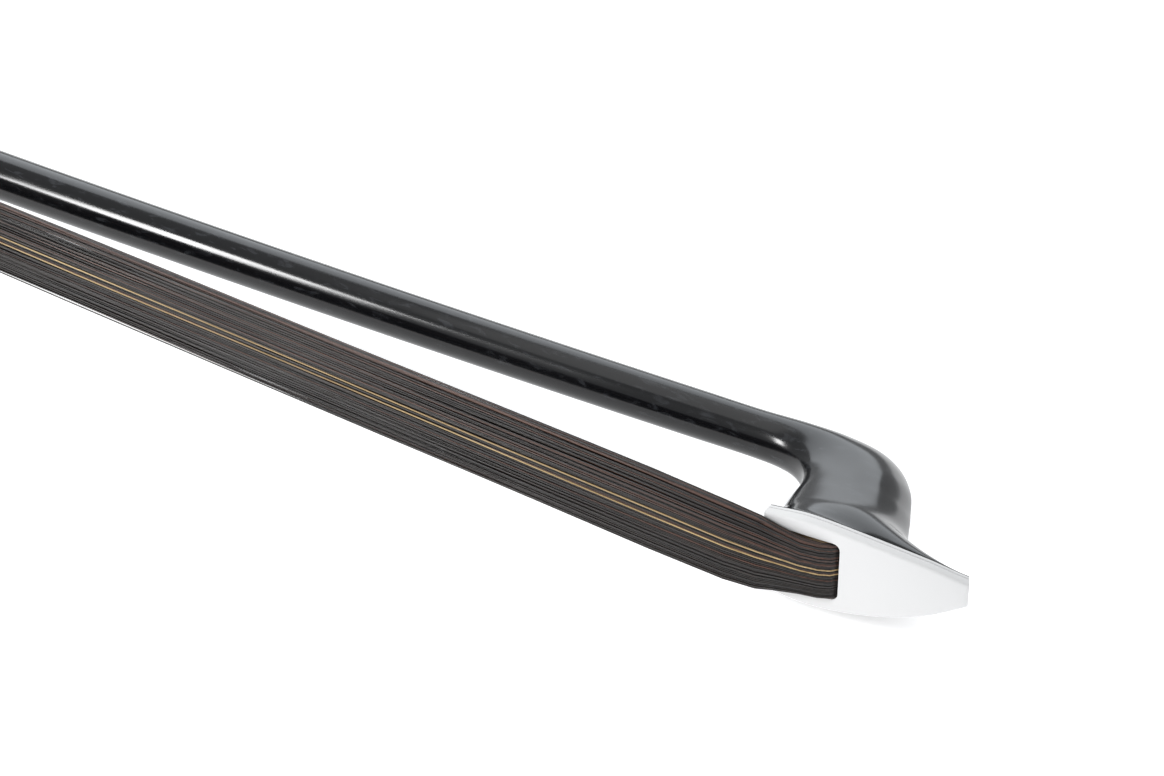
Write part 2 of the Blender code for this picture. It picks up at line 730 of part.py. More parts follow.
def bound_end(bm, rings, roots):
    """A bound end of the hair, whose first face is a grid with one strand's root in each cell."""
    middle, upright, depth, width = rings[0]
    grid = [
        [
            bm.verts.new(
                middle
                + upright * depth * (layer / HAIR_LAYERS - 0.5)
                + ACROSS * width * (column / HAIRS_PER_LAYER - 0.5)
            )
            for column in range(HAIRS_PER_LAYER + 1)
        ]
        for layer in range(HAIR_LAYERS + 1)
    ]
    for layer in range(HAIR_LAYERS):
        for column in range(HAIRS_PER_LAYER):
            low, high_left, high_right = roots[layer][column]
            a, b = grid[layer][column], grid[layer][column + 1]
            d, c = grid[layer + 1][column], grid[layer + 1][column + 1]
            bm.faces.new((a, b, low))
            bm.faces.new((a, low, high_left, d))
            bm.faces.new((b, c, high_right, low))
            bm.faces.new((d, high_left, high_right, c))
    near = [row[0] for row in grid]
    far = [row[-1] for row in grid]
    sides = [near, grid[-1], far[::-1], grid[0][::-1]]
    loops = add_loops(bm, [slab_ring(*ring) for ring in rings[1:]])
    for k, side in enumerate(sides):
        bm.faces.new(side + [loops[0][(k + 1) % len(sides)], loops[0][k]])
    skin(bm, loops)
    bm.faces.new(loops[-1])


def make_hair(finish, bow):
    """The ribbon of hair: separate strands between two bound ends."""
    bm = bmesh.new()
    stations = hair_stations()
    starts = []
    ends = []
    for layer in range(HAIR_LAYERS):
        starts.append([])
        ends.append([])
        for column in range(HAIRS_PER_LAYER):
            loops = add_loops(bm, [strand_ring(station, layer, column) for station in stations])
            skin(bm, loops)
            starts[-1].append(loops[0])
            ends[-1].append(loops[-1])
    bound_end(bm, tip_bundle(), starts)
    bound_end(bm, frog_bundle(), ends)
    add_part("hair", bm, finish, bow)


def make_knot(name, finish, parent, centre, along, half_long, half_wide):
    """A flattened barrel of thread that binds the hair's end, standing along a direction."""
    side = along.cross(ACROSS)
    bm = bmesh.new()
    rings = []
    for place, swell in ((-1.0, 0.82), (-0.55, 1.0), (0.55, 1.0), (1.0, 0.82)):
        ring = []
        for j in range(ROUND_SIDES):
            turn = math.tau * j / ROUND_SIDES
            ring.append(
                centre
                + along * place * KNOT_HEIGHT / 2
                + side * half_long * swell * math.cos(turn)
                + ACROSS * half_wide * swell * math.sin(turn)
            )
        rings.append(ring)
    loft_flat(bm, rings)
    add_part(name, bm, finish, parent)


def make_tip_packing(plug_finish, thread_finish, bow):
    """The knot at the bottom of the tip mortise and the plug that wedges it."""
    middle, _, depth, width = hair_stations()[0]
    wall = TIP_MORTISE_FRONT - TIP_MORTISE_DRAFT - 2 * SEAT_GAP - depth
    rear = TIP_MORTISE_REAR + TIP_MORTISE_DRAFT + SEAT_GAP
    seat = plate_point((TIP_MORTISE_REAR + TIP_MORTISE_FRONT) / 2 / PLATE_LENGTH, PLATE_SEAT_DEPTH).y
    bottom = seat + TIP_MORTISE_DEPTH
    half_wide = TIP_MORTISE_WIDTH / 2 - TIP_MORTISE_SIDE_DRAFT - SEAT_GAP
    centre = Vector((mix(rear, wall, 0.5) + depth / 2, bottom - SEAT_GAP - KNOT_HEIGHT / 2, 0.0))
    make_knot("tip_hair_knot", thread_finish, bow, centre, Vector((0.0, 1.0, 0.0)),
              (wall - rear) / 2, half_wide)

    root, rim = hair_stations()[:2]
    under_root = root[0].y + root[2] / 2
    under_rim = rim[0].y + rim[2] / 2

    def under_hair(x):
        return mix(under_rim, under_root, x / root[0].x) + SEAT_GAP

    x0 = TIP_MORTISE_REAR + SEAT_GAP
    x1 = wall
    half_mouth = TIP_MORTISE_WIDTH / 2 - SEAT_GAP
    half_deep = half_wide
    deep = bottom - KNOT_HEIGHT - 2 * SEAT_GAP
    bm = bmesh.new()
    rings = [
        [(x0, under_hair(x0), -half_mouth), (x1, under_hair(x1), -half_mouth),
         (x1, under_hair(x1), half_mouth), (x0, under_hair(x0), half_mouth)],
        [(x0, seat, -half_mouth), (x1, seat, -half_mouth), (x1, seat, half_mouth), (x0, seat, half_mouth)],
        [(rear, deep, -half_deep), (x1, deep, -half_deep), (x1, deep, half_deep), (rear, deep, half_deep)],
    ]
    loft_flat(bm, rings)
    add_part("tip_plug", bm, plug_finish, bow)


def make_frog_packing(plug_finish, thread_finish, frog_frame):
    """The knot at the bottom of the frog's mortise and the plug that wedges it."""
    depth = HAIR_DEPTH_AT_FROG
    u0 = U_MORTISE_REAR + depth + 2 * SEAT_GAP
    u1 = U_MORTISE_FRONT - SEAT_GAP
    half = FROG_MORTISE_WIDTH / 2 - SEAT_GAP
    along = Vector((0.0, 1.0, 0.0))
    centre = Vector((U_MORTISE_REAR + SEAT_GAP + KNOT_LENGTH, V_MORTISE_TOP - SEAT_GAP - KNOT_HEIGHT / 2, 0.0))
    make_knot("frog_hair_knot", thread_finish, frog_frame, centre, along, KNOT_LENGTH, half)
    bm = bmesh.new()
    block(bm, (u0, V_HAIR_ROOF, -half), (u1, V_MORTISE_TOP - KNOT_HEIGHT - 2 * SEAT_GAP, half))
    add_part("frog_plug", bm, plug_finish, frog_frame)


def frog_half_width(v):
    """Half the frog's width at v: flat cheeks that lean in towards the stick."""
    share = min(max((v - V_BOTTOM) / (V_CHEEK_TOP - V_BOTTOM), 0.0), 1.0)
    return mix(FERRULE_WIDTH, FROG_TOP_WIDTH, share) / 2


def dome_half_width(v, inset=0.0):
    """Half the ferrule's width at v, drawn in by inset."""
    half = FERRULE_WIDTH / 2 - inset
    if v <= V_DOME:
        return half
    rise = (v - V_DOME) / (V_FERRULE_TOP - inset - V_DOME)
    return half * math.sqrt(max(1.0 - rise * rise, 0.0))


def frog_ring(v, u_front, setback, front_half):
    """The frog's outline at one v, from the heel round to the front."""
    half = frog_half_width(v)
    side = [
        (U_HEEL_FACE, 0.0),
        (U_HEEL_FACE, half - FROG_EDGE),
        (U_HEEL_FACE + FROG_EDGE, half),
        (u_front - setback, half),
        (u_front, front_half),
        (u_front, 0.0),
    ]
    return [(u, v, w) for u, w in side] + [(u, v, -w) for u, w in reversed(side[1:-1])]


def frog_rings():
    """Sections of the frog from its hair side to its wings, with the throat's hollow front."""
    rings = [
        frog_ring(V_BOTTOM, U_FROG_FRONT, FROG_EDGE, frog_half_width(V_BOTTOM) - FROG_EDGE),
        frog_ring(V_DOME, U_FROG_FRONT, FROG_EDGE, frog_half_width(V_DOME) - FROG_EDGE),
    ]
    crown = 1.0 - 1.0 / DOME_STEPS
    for share in (0.35, 0.65, 0.85, crown):
        v = mix(V_DOME, V_FERRULE_TOP, share)
        rings.append(frog_ring(v, U_FROG_FRONT, TONGUE_BLEND * smooth(3 * share), dome_half_width(v)))
    low_half = dome_half_width(mix(V_DOME, V_FERRULE_TOP, crown))
    for step in range(THROAT_STEPS + 1):
        share = (1.0 - math.cos(math.pi * step / THROAT_STEPS)) / 2
        v = mix(V_FERRULE_TOP, V_THROAT_TOP, share)
        hollow = THROAT_DEPTH * math.sqrt(max(1.0 - (2.0 * share - 1.0) ** 2, 0.0))
        blend = smooth(3 * share)
        front_half = mix(low_half, frog_half_width(v) - THROAT_EDGE, blend)
        setback = mix(TONGUE_BLEND, THROAT_EDGE, blend)
        rings.append(frog_ring(v, U_FROG_FRONT - hollow, setback, front_half))
    for v in (V_CHEEK_TOP, V_FROG_TOP):
        rings.append(frog_ring(v, U_FROG_FRONT, THROAT_EDGE, frog_half_width(v) - THROAT_EDGE))
    return rings


def dome_outline(inset, v_low):
    """The ferrule's D-shaped outline from its flat side, drawn in by inset and cut off at v_low."""
    half = FERRULE_WIDTH / 2 - inset
    rise = V_FERRULE_TOP - inset - V_DOME
    side = [(v_low, half)]
    for step in range(DOME_STEPS + 1):
        turn = math.pi / 2 * step / DOME_STEPS
        v = V_DOME + rise * math.sin(turn)
        if v > v_low:
            side.append((v, half * math.cos(turn)))
    side[-1] = (side[-1][0], 0.0)
    return side + [(v, -w) for v, w in reversed(side[:-1])]


def make_channel_cutter(frog_frame):
    """The octagonal room for the stick, its running clearance and the underslide."""
    bm = bmesh.new()
    rings = [
        [(u, v, w) for v, w in section(CHANNEL_RADIUS, 1.0)]
        for u in (-FROG_LENGTH - CHANNEL_RADIUS, CHANNEL_RADIUS)
    ]
    loft_flat(bm, rings)
    return add_cutter("channel_cutter", bm, frog_frame)


def make_frog(finish, frog_frame, channel, eye_frames):
    """The frog: hollow throat, tongue for the ferrule, channel, slide groove, mortise and eye seats."""
    bm = bmesh.new()
    loft_flat(bm, frog_rings())
    frog = add_part("frog", bm, finish, frog_frame)

    bm = bmesh.new()
    prism(bm, dome_outline(FERRULE_WALL + SEAT_GAP, V_HAIR_ROOF), U_FROG_FRONT - TONGUE_BLEND, -TONGUE_SETBACK)
    combine(frog, add_cutter("tongue_shape", bm, frog_frame), "UNION")
    combine(frog, channel)

    mouth = SLIDE_MOUTH_WIDTH / 2
    floor = mouth + SLIDE_DOVETAIL
    outline = [
        (V_BOTTOM - PEARL_THICKNESS, mouth - SLIDE_DOVETAIL * PEARL_THICKNESS / (V_SLIDE_FLOOR - V_BOTTOM)),
        (V_SLIDE_FLOOR, floor),
    ]
    outline += [(v, -w) for v, w in reversed(outline)]
    bm = bmesh.new()
    prism(bm, outline, U_SLIDE_REAR, 0.0)
    combine(frog, add_cutter("slide_groove_cutter", bm, frog_frame))

    bm = bmesh.new()
    half = HAIR_WIDTH_AT_FROG / 2 - SLIDE_DOVETAIL
    block(bm, (U_MORTISE_REAR, V_SLIDE_FLOOR - SEAT_GAP, -half), (0.0, V_HAIR_ROOF, half))
    combine(frog, add_cutter("hair_channel_cutter", bm, frog_frame))

    bm = bmesh.new()
    half = FROG_MORTISE_WIDTH / 2
    block(bm, (U_MORTISE_REAR, V_HAIR_IN_FROG, -half), (U_MORTISE_FRONT, V_MORTISE_TOP, half))
    combine(frog, add_cutter("frog_mortise_cutter", bm, frog_frame))

    bm = bmesh.new()
    width = FERRULE_WIDTH
    foot = V_BOTTOM + HEEL_PLATE_THICKNESS + SEAT_GAP
    block(bm, (-2 * FROG_LENGTH, V_BOTTOM - SEAT_GAP, -width), (U_SLIDE_REAR, foot, width))
    combine(frog, add_cutter("heel_foot_cutter", bm, frog_frame))

    bm = bmesh.new()
    radius = SHANK_DIAMETER / 2 + GLUE_GAP
    shank_end = -EYELET_HEIGHT / 2 - SHANK_LENGTH - SEAT_GAP
    rings = []
    for v in (shank_end, 0.0):
        rings.append([
            (U_EYELET + radius * math.cos(math.tau * j / ROUND_SIDES), v,
             radius * math.sin(math.tau * j / ROUND_SIDES))
            for j in range(ROUND_SIDES)
        ])
    loft_flat(bm, rings)
    shank_hole = add_cutter("shank_hole_cutter", bm, frog_frame)
    combine(frog, shank_hole)

    for side, eye_frame in eye_frames.items():
        bm = bmesh.new()
        seat = EYE_RING_DIAMETER / 2 + GLUE_GAP
        turned_upright(bm, [(-EYE_THICKNESS - SEAT_GAP, seat), (EYE_THICKNESS, seat)])
        combine(frog, add_cutter("eye_seat_cutter_" + side, bm, eye_frame))
    return shank_hole


def turned_upright(bm, profile, sides=ROUND_SIDES):
    """A round solid about its frame's z axis, from (z, radius) pairs."""
    step = math.tau / sides
    loft_flat(bm, [
        [(r * math.cos(j * step), r * math.sin(j * step), z) for j in range(sides)] for z, r in profile
    ])


def ring_upright(bm, outer, inner, low, high, bevel, sides=ROUND_SIDES):
    """A flat ring about its frame's z axis, with a bevel round its upper edges."""
    step = math.tau / sides

    def circle(radius, z):
        return [(radius * math.cos(j * step), radius * math.sin(j * step), z) for j in range(sides)]

    sleeve(
        bm,
        [circle(outer, low), circle(outer, high - bevel), circle(outer - bevel, high)],
        [circle(inner, low), circle(inner, high - bevel), circle(inner + bevel, high)],
    )


def make_eye(side, eye_frame, ring_finish, pearl_finish):
    """One eye: a metal ring with a low pearl disc inside it."""
    bm = bmesh.new()
    inner = EYE_PEARL_DIAMETER / 2 + GLUE_GAP
    ring_upright(bm, EYE_RING_DIAMETER / 2, inner, -EYE_THICKNESS, 0.0, GLUE_GAP)
    add_part("eye_ring_" + side, bm, ring_finish, eye_frame)
    bm = bmesh.new()
    radius = EYE_PEARL_DIAMETER / 2
    turned_upright(bm, [(-EYE_THICKNESS, radius), (-GLUE_GAP, radius), (0.0, radius - GLUE_GAP)])
    add_part("eye_pearl_" + side, bm, pearl_finish, eye_frame)


def make_ferrule(finish, frog_frame):
    """The D-shaped metal ferrule that holds the hair flat."""
    outer = dome_outline(0.0, V_BOTTOM)
    inner = dome_outline(FERRULE_WALL, V_BOTTOM + FERRULE_WALL)
    bm = bmesh.new()
    sleeve(
        bm,
        [[(u, v, w) for v, w in outer] for u in (U_FERRULE_REAR, 0.0)],
        [[(u, v, w) for v, w in inner] for u in (U_FERRULE_REAR, 0.0)],
    )
    add_part("ferrule", bm, finish, frog_frame)


def make_wedge(finish, frog_frame):
    """The thin wooden wedge that spreads the hair in the ferrule's mouth."""
    v_top = V_HAIR_ROOF - SEAT_GAP
    v_mouth = V_HAIR + HAIR_DEPTH_AT_FROG + SEAT_GAP
    half = FERRULE_WIDTH / 2 - FERRULE_WALL - SEAT_GAP
    corner = (FERRULE_WALL + SEAT_GAP) / 2
    outline = [(v_mouth, half - corner), (v_mouth + corner, half), (v_top, half)]
    outline += [(v, -w) for v, w in reversed(outline)]
    bm = bmesh.new()
    rings = []
    for u, lift in ((-GLUE_GAP, 0.0), (-WEDGE_LENGTH, SEAT_GAP)):
        rings.append([(u, max(v, v_mouth + lift), w) for v, w in outline])
    loft_flat(bm, rings)
    add_part("spread_wedge", bm, finish, frog_frame)


def make_slide(base_finish, pearl_finish, frog_frame):
    """The dovetailed slide that closes the mortise, and the pearl on its outer face."""
    mouth = SLIDE_MOUTH_WIDTH / 2 - SEAT_GAP
    depth = V_SLIDE_FLOOR - V_BOTTOM
    u0 = U_SLIDE_REAR + SEAT_GAP
    u1 = U_FROG_FRONT

    def groove_half(v):
        return mouth + SLIDE_DOVETAIL * (v - V_BOTTOM) / depth

    for name, finish, v0, v1 in (
        ("pearl_slide", pearl_finish, V_BOTTOM, V_BOTTOM + PEARL_THICKNESS),
        ("slide_base", base_finish, V_BOTTOM + PEARL_THICKNESS + GLUE_GAP, V_SLIDE_FLOOR - SEAT_GAP),
    ):
        low_half, high_half = groove_half(v0), groove_half(v1)
        outline = [(v0, low_half), (v1, high_half), (v1, -high_half), (v0, -low_half)]
        bm = bmesh.new()
        prism(bm, outline, u0, u1)
        add_part(name, bm, finish, frog_frame)


def make_heel_plate(finish, frog_frame, channel):
    """The L-shaped metal plate over the frog's heel."""
    bm = bmesh.new()
    loops = []
    v_foot = V_BOTTOM + HEEL_PLATE_THICKNESS
    u_inner = -FROG_LENGTH + HEEL_PLATE_THICKNESS
    u_toe = U_SLIDE_REAR - SEAT_GAP
    outline = [
        (-FROG_LENGTH, V_BOTTOM),
        (u_toe, V_BOTTOM),
        (u_toe, v_foot),
        (u_inner, v_foot),
        (u_inner, V_FROG_TOP),
        (-FROG_LENGTH, V_FROG_TOP),
    ]
    for side in (-1.0, 1.0):
        loops.append([bm.verts.new((u, v, side * frog_half_width(v))) for u, v in outline])
    skin(bm, loops)
    for loop in loops:
        toe, back = loop[1:4], loop[3:]
        bm.faces.new([loop[0]] + toe)
        bm.faces.new([loop[0]] + back)
    plate = add_part("heel_plate", bm, finish, frog_frame)
    combine(plate, channel)


def make_underslide(finish, frog_frame, shank_hole):
    """The three-sided metal lining that the stick's lower flats run on."""
    side = [
        (-UNDERSLIDE_INNER, 0.0),
        (-UNDERSLIDE_INNER, UNDERSLIDE_INNER * HALF_FACET),
    ]
    wing = UNDERSLIDE_WING * DIAGONAL
    edge = UNDERSLIDE_THICKNESS * DIAGONAL
    tip_v = -UNDERSLIDE_INNER + wing
    tip_w = UNDERSLIDE_INNER * HALF_FACET + wing
    side += [
        (tip_v, tip_w),
        (tip_v - edge, tip_w + edge),
        (-UNDERSLIDE_OUTER, UNDERSLIDE_OUTER * HALF_FACET),
        (-UNDERSLIDE_OUTER, 0.0),
    ]
    bm = bmesh.new()
    u0 = -FROG_LENGTH + HEEL_PLATE_THICKNESS + SEAT_GAP
    u1 = U_FROG_FRONT - THROAT_EDGE
    loops = []
    for u in (u0, u1):
        ring = [(u, v, w) for v, w in side] + [(u, v, -w) for v, w in reversed(side[1:-1])]
        loops.append([bm.verts.new(point) for point in ring])
    skin(bm, loops)
    for loop in loops:
        bm.faces.new((loop[0], loop[1], loop[4], loop[5]))
        bm.faces.new((loop[1], loop[2], loop[3], loop[4]))
        bm.faces.new((loop[5], loop[6], loop[9], loop[0]))
        bm.faces.new((loop[6], loop[7], loop[8], loop[9]))
    lining = add_part("underslide", bm, finish, frog_frame)
    combine(lining, shank_hole)


def make_eyelet(finish, frog_frame):
    """The brass eyelet: a block on the screw, on a shank that goes down into the frog."""
    half_u = EYELET_LENGTH / 2
    half_w = EYELET_WIDTH / 2
    top = EYELET_HEIGHT / 2
    rings = []
    bevelled = top - EYELET_BEVEL
    for v, inset in ((-top, EYELET_BEVEL), (-bevelled, 0.0), (bevelled, 0.0), (top, EYELET_BEVEL)):
        u = half_u - inset
        w = half_w - inset
        cut = EYELET_BEVEL
        corners = [(u, w - cut), (u - cut, w), (cut - u, w), (-u, w - cut),
                   (-u, cut - w), (cut - u, -w), (u - cut, -w), (u, cut - w)]
        rings.append([(U_EYELET + cu, v, cw) for cu, cw in corners])
    bm = bmesh.new()
    loft_flat(bm, rings)
    eyelet = add_part("eyelet", bm, finish, frog_frame)

    bm = bmesh.new()
    radius = SHANK_DIAMETER / 2
    rings = []
    foot = -top - SHANK_LENGTH
    for v, r in ((foot, radius - EYELET_BEVEL), (foot + EYELET_BEVEL, radius), (-bevelled, radius)):
        rings.append([
            (U_EYELET + r * math.cos(math.tau * j / ROUND_SIDES), v, r * math.sin(math.tau * j / ROUND_SIDES))
            for j in range(ROUND_SIDES)
        ])
    loft_flat(bm, rings)
    combine(eyelet, add_cutter("shank_shape", bm, frog_frame), "UNION")

    bm = bmesh.new()
    reach = (SCREW_DIAMETER / 2 + SCREW_GAP) / math.cos(math.pi / ROUND_SIDES)
    turned(bm, [(U_EYELET - EYELET_LENGTH, reach), (U_EYELET + EYELET_LENGTH, reach)])
    combine(eyelet, add_cutter("eyelet_bore_cutter", bm, frog_frame))


def shaped_rings(profile):
    """Sections about the u axis, from (u, half-width, share of octagon) steps."""
    return [[(u, v, w) for v, w in section(half, octagon)] for u, half, octagon in profile]


def make_button(ring_finish, core_finish, pearl_finish, screw_finish, frame):
    """The adjuster: screw, front ring, ebony core, rear ring and the pearl in its end."""
    half = BUTTON_ACROSS_FLATS / 2
    bead = BUTTON_GROOVE_DEPTH
    low = half - bead
    u_front = U_BUTT - RUNNING_GAP
    u_core = u_front - BUTTON_FRONT_RING_LENGTH
    u_rear = u_core - 2 * SEAT_GAP - BUTTON_CORE_LENGTH
    u_end = u_rear - BUTTON_REAR_RING_LENGTH
    u_pearl = u_end + BUTTON_PEARL_THICKNESS
    u_recess = u_front - NIPPLE_LENGTH - RUNNING_GAP
    u_screw_end = u_rear - BUTTON_REAR_RING_LENGTH / 2
    screw_hole = SCREW_DIAMETER / 2 + SCREW_GAP
    nipple_hole = NIPPLE_DIAMETER / 2 + RUNNING_GAP
    pearl_seat = BUTTON_PEARL_DIAMETER / 2 + GLUE_GAP

    def banded(u_from, u_to):
        """An octagonal outside with bevelled ends and a groove near its first end."""
        turn = math.copysign(bead, u_to - u_from)
        steps = ((0, low), (1, half), (3, half), (4, low), (5, half))
        return [(u_from + turn * count, reach, 1.0) for count, reach in steps] + [
            (u_to - turn, half, 1.0),
            (u_to, low, 1.0),
        ]

    bm = bmesh.new()
    inside = [
        (u_front, nipple_hole, 0.0),
        (u_recess, nipple_hole, 0.0),
        (u_recess, screw_hole, 0.0),
        (u_core, screw_hole, 0.0),
    ]
    ring_round(bm, shaped_rings(banded(u_core, u_front) + inside))
    add_part("button_ring_front", bm, ring_finish, frame)

    bm = bmesh.new()
    u0 = u_rear + SEAT_GAP
    u1 = u_core - SEAT_GAP
    waist = half - bead / 2
    outside = [(u0, low, 1.0), (u0 + bead, waist, 1.0), (u1 - bead, waist, 1.0), (u1, low, 1.0)]
    ring_round(bm, shaped_rings(outside + [(u1, screw_hole, 0.0), (u0, screw_hole, 0.0)]))
    add_part("button_core", bm, core_finish, frame)

    bm = bmesh.new()
    inside = [(u_screw_end - SEAT_GAP, screw_hole, 0.0), (u_rear, screw_hole, 0.0)]
    end_seat = [(u_end, pearl_seat, 0.0), (u_pearl + GLUE_GAP, pearl_seat, 0.0)]
    loft_flat(bm, shaped_rings(inside + banded(u_rear, u_end) + end_seat))
    add_part("button_ring_rear", bm, ring_finish, frame)

    bm = bmesh.new()
    radius = BUTTON_PEARL_DIAMETER / 2
    turned(bm, [(u_pearl, radius), (u_end + GLUE_GAP, radius), (u_end, radius - GLUE_GAP)])
    add_part("button_pearl", bm, pearl_finish, frame)

    bm = bmesh.new()
    radius = SCREW_DIAMETER / 2
    turned(bm, [(u_screw_end, radius), (-SCREW_REACH - radius / 2, radius), (-SCREW_REACH, radius / 2)])
    add_part("screw", bm, screw_finish, frame)


def make_leather(finish, bow):
    """The thumb leather round the stick in front of the frog, thinned at its front edge."""
    u0 = U_FROG_FRONT + FROG_FORWARD_TRAVEL + LEATHER_CLEARANCE
    u1 = u0 + LEATHER_LENGTH
    steps = 6
    full = u1 - LEATHER_SKIVE
    stations = [(handle_x(mix(u0, full, step / steps)), LEATHER_THICKNESS) for step in range(steps + 1)]
    stations.append((handle_x(u1), LEATHER_THICKNESS / 3))
    bm = bmesh.new()
    sleeve(
        bm,
        [stick_ring(x, SEAT_GAP + thickness) for x, thickness in stations],
        [stick_ring(x, SEAT_GAP) for x, _ in stations],
    )
    add_part("thumb_leather", bm, finish, bow)
    return u1


def make_winding(finish, bow, u_start):
    """The grip's winding: one flat metal strip that goes round the stick in front of the leather."""
    points_in_all = WINDING_TURNS * WINDING_POINTS_PER_TURN
    clearance = 1.0 / math.cos(math.pi / WINDING_POINTS_PER_TURN)
    rings = []
    path = []
    for step in range(points_in_all + 1):
        turn = math.tau * step / WINDING_POINTS_PER_TURN
        x = handle_x(u_start + WINDING_STRIP_WIDTH) + WINDING_PITCH * step / WINDING_POINTS_PER_TURN
        height, slope = stick_axis(x)
        along = Vector((1.0, slope, 0.0)).normalized()
        normal = Vector((-along.y, along.x, 0.0))
        outward = ACROSS * math.sin(turn) - normal * math.cos(turn)
        inner = (stick_radius(x) + GLUE_GAP) * clearance
        centre = Vector((x, height, 0.0)) + outward * (inner + WINDING_STRIP_THICKNESS / 2)
        path.append(centre)
        wide = along * WINDING_STRIP_WIDTH / 2
        thick = outward * WINDING_STRIP_THICKNESS / 2
        inside, outside = centre - thick, centre + thick
        rings.append([inside - wide, inside + wide, outside + wide, outside - wide])
    bm = bmesh.new()
    loft_flat(bm, rings)
    add_part("grip_winding", bm, finish, bow)
    least = min(
        (path[later] - path[earlier]).length
        for earlier in range(len(path) - WINDING_POINTS_PER_TURN)
        for later in range(earlier + WINDING_POINTS_PER_TURN // 2, len(path))
        if later - earlier < 2 * WINDING_POINTS_PER_TURN
    )
    print("grip winding: least gap between turns %.2f mm" % ((least - WINDING_STRIP_WIDTH) * 1000))


def stand_on_floor(bow):
    """Move the bow so that its box is centred over the origin, with its lowest point on the floor."""
    bpy.context.view_layer.update()
    graph = bpy.context.evaluated_depsgraph_get()
    corners = []
    for part in bpy.context.scene.objects:
        if part.type == "MESH" and not part.hide_render:
            corners += [part.matrix_world @ vert.co for vert in part.evaluated_get(graph).data.vertices]
    low = [min(corner[axis] for corner in corners) for axis in range(3)]
    high = [max(corner[axis] for corner in corners) for axis in range(3)]
    bow.location = (-(low[0] + high[0]) / 2, -(low[1] + high[1]) / 2, -low[2])
    bpy.context.view_layer.update()


def build():
    """Make every piece of the bow."""
    for old in list(bpy.data.objects):
        bpy.data.objects.remove(old)

    carbon = material("carbon", (0.012, 0.013, 0.016), 0.16)
    plate_white = material("plate_white", (0.80, 0.79, 0.76), 0.35)
    liner_black = material("liner_black", (0.015, 0.015, 0.015), 0.5)
    hair_black = material("hair_black", (0.030, 0.022, 0.018), 0.45)
    thread = material("thread", (0.35, 0.05, 0.04), 0.8)
    plug_wood = material("plug_wood", (0.55, 0.38, 0.22), 0.7)
    ebony = material("ebony", (0.018, 0.015, 0.014), 0.32)
    pearl = material("pearl", (0.72, 0.74, 0.72), 0.22)
    silver = material("silver", (0.78, 0.77, 0.74), 0.25, 1.0)
    brass = material("brass", (0.72, 0.52, 0.22), 0.3, 1.0)
    steel = material("steel", (0.56, 0.57, 0.58), 0.3, 1.0)
    leather = material("leather", (0.020, 0.018, 0.017), 0.6)

    bow = add_empty("bow", (0.0, 0.0, 0.0), (0.0, 0.0, 0.0), None)
    frog_frame = add_empty("frog_slide_axis", HANDLE_ORIGIN, (0.0, 0.0, -HANDLE_TILT), bow)
    button_frame = add_empty("button_axis", HANDLE_ORIGIN, (0.0, 0.0, -HANDLE_TILT), bow)

    lean = math.atan((FERRULE_WIDTH - FROG_TOP_WIDTH) / 2 / (V_CHEEK_TOP - V_BOTTOM))
    v_eye = V_BOTTOM + (FROG_REACH - EYE_DROP)
    eye_half = frog_half_width(v_eye)
    left_turn = (-lean, 0.0, 0.0)
    right_turn = (math.pi + lean, 0.0, 0.0)
    eye_frames = {
        "left": add_empty("eye_left_seat", (-EYE_SETBACK, v_eye, eye_half), left_turn, frog_frame),
        "right": add_empty("eye_right_seat", (-EYE_SETBACK, v_eye, -eye_half), right_turn, frog_frame),
    }

    mortise = make_tip_mortise_cutter(bow)
    channel = make_channel_cutter(frog_frame)
    make_stick(carbon, bow, button_frame, mortise)
    make_liner_and_plate(liner_black, plate_white, bow, mortise)
    make_hair(hair_black, bow)
    make_tip_packing(plug_wood, thread, bow)
    leather_end = make_leather(leather, bow)
    make_winding(silver, bow, leather_end)

    shank_hole = make_frog(ebony, frog_frame, channel, eye_frames)
    make_frog_packing(plug_wood, thread, frog_frame)
    make_ferrule(silver, frog_frame)
    make_wedge(plug_wood, frog_frame)
    make_slide(ebony, pearl, frog_frame)
    make_heel_plate(silver, frog_frame, channel)
    make_underslide(silver, frog_frame, shank_hole)
    make_eyelet(brass, frog_frame)
    for side, eye_frame in eye_frames.items():
        make_eye(side, eye_frame, silver, pearl)
    make_button(silver, ebony, pearl, steel, button_frame)
    stand_on_floor(bow)


build()
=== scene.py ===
"""The looks of a violin bow lying on its side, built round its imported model.

Sizes are in metres, in the row frame: +X to the tip, -Y from the stick to the hair, +Z up.
"""
import math
import random

import bmesh
import bpy
from mathutils import Matrix, Vector


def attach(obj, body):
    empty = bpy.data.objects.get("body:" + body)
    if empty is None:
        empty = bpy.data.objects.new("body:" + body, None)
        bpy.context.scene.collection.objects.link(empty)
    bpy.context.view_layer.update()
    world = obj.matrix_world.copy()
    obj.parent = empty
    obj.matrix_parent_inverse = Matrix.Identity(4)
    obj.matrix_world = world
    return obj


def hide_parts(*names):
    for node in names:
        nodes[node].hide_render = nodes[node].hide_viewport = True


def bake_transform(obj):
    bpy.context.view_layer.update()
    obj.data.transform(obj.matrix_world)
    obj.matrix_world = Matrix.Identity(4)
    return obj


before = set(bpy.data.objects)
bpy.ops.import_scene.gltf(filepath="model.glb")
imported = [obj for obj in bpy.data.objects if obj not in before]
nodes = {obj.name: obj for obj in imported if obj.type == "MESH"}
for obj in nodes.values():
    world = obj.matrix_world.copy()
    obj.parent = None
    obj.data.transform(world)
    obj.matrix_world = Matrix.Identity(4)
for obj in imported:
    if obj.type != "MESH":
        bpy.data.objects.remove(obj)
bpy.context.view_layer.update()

# Where the part's own frames lie
BOW = Vector((0.34711, -0.01596, 0.00675))
ACROSS = Vector((0.0, 0.0, 1.0))
HANDLE_TILT = math.radians(3.7)
U_AXIS = Vector((math.cos(HANDLE_TILT), -math.sin(HANDLE_TILT), 0.0))
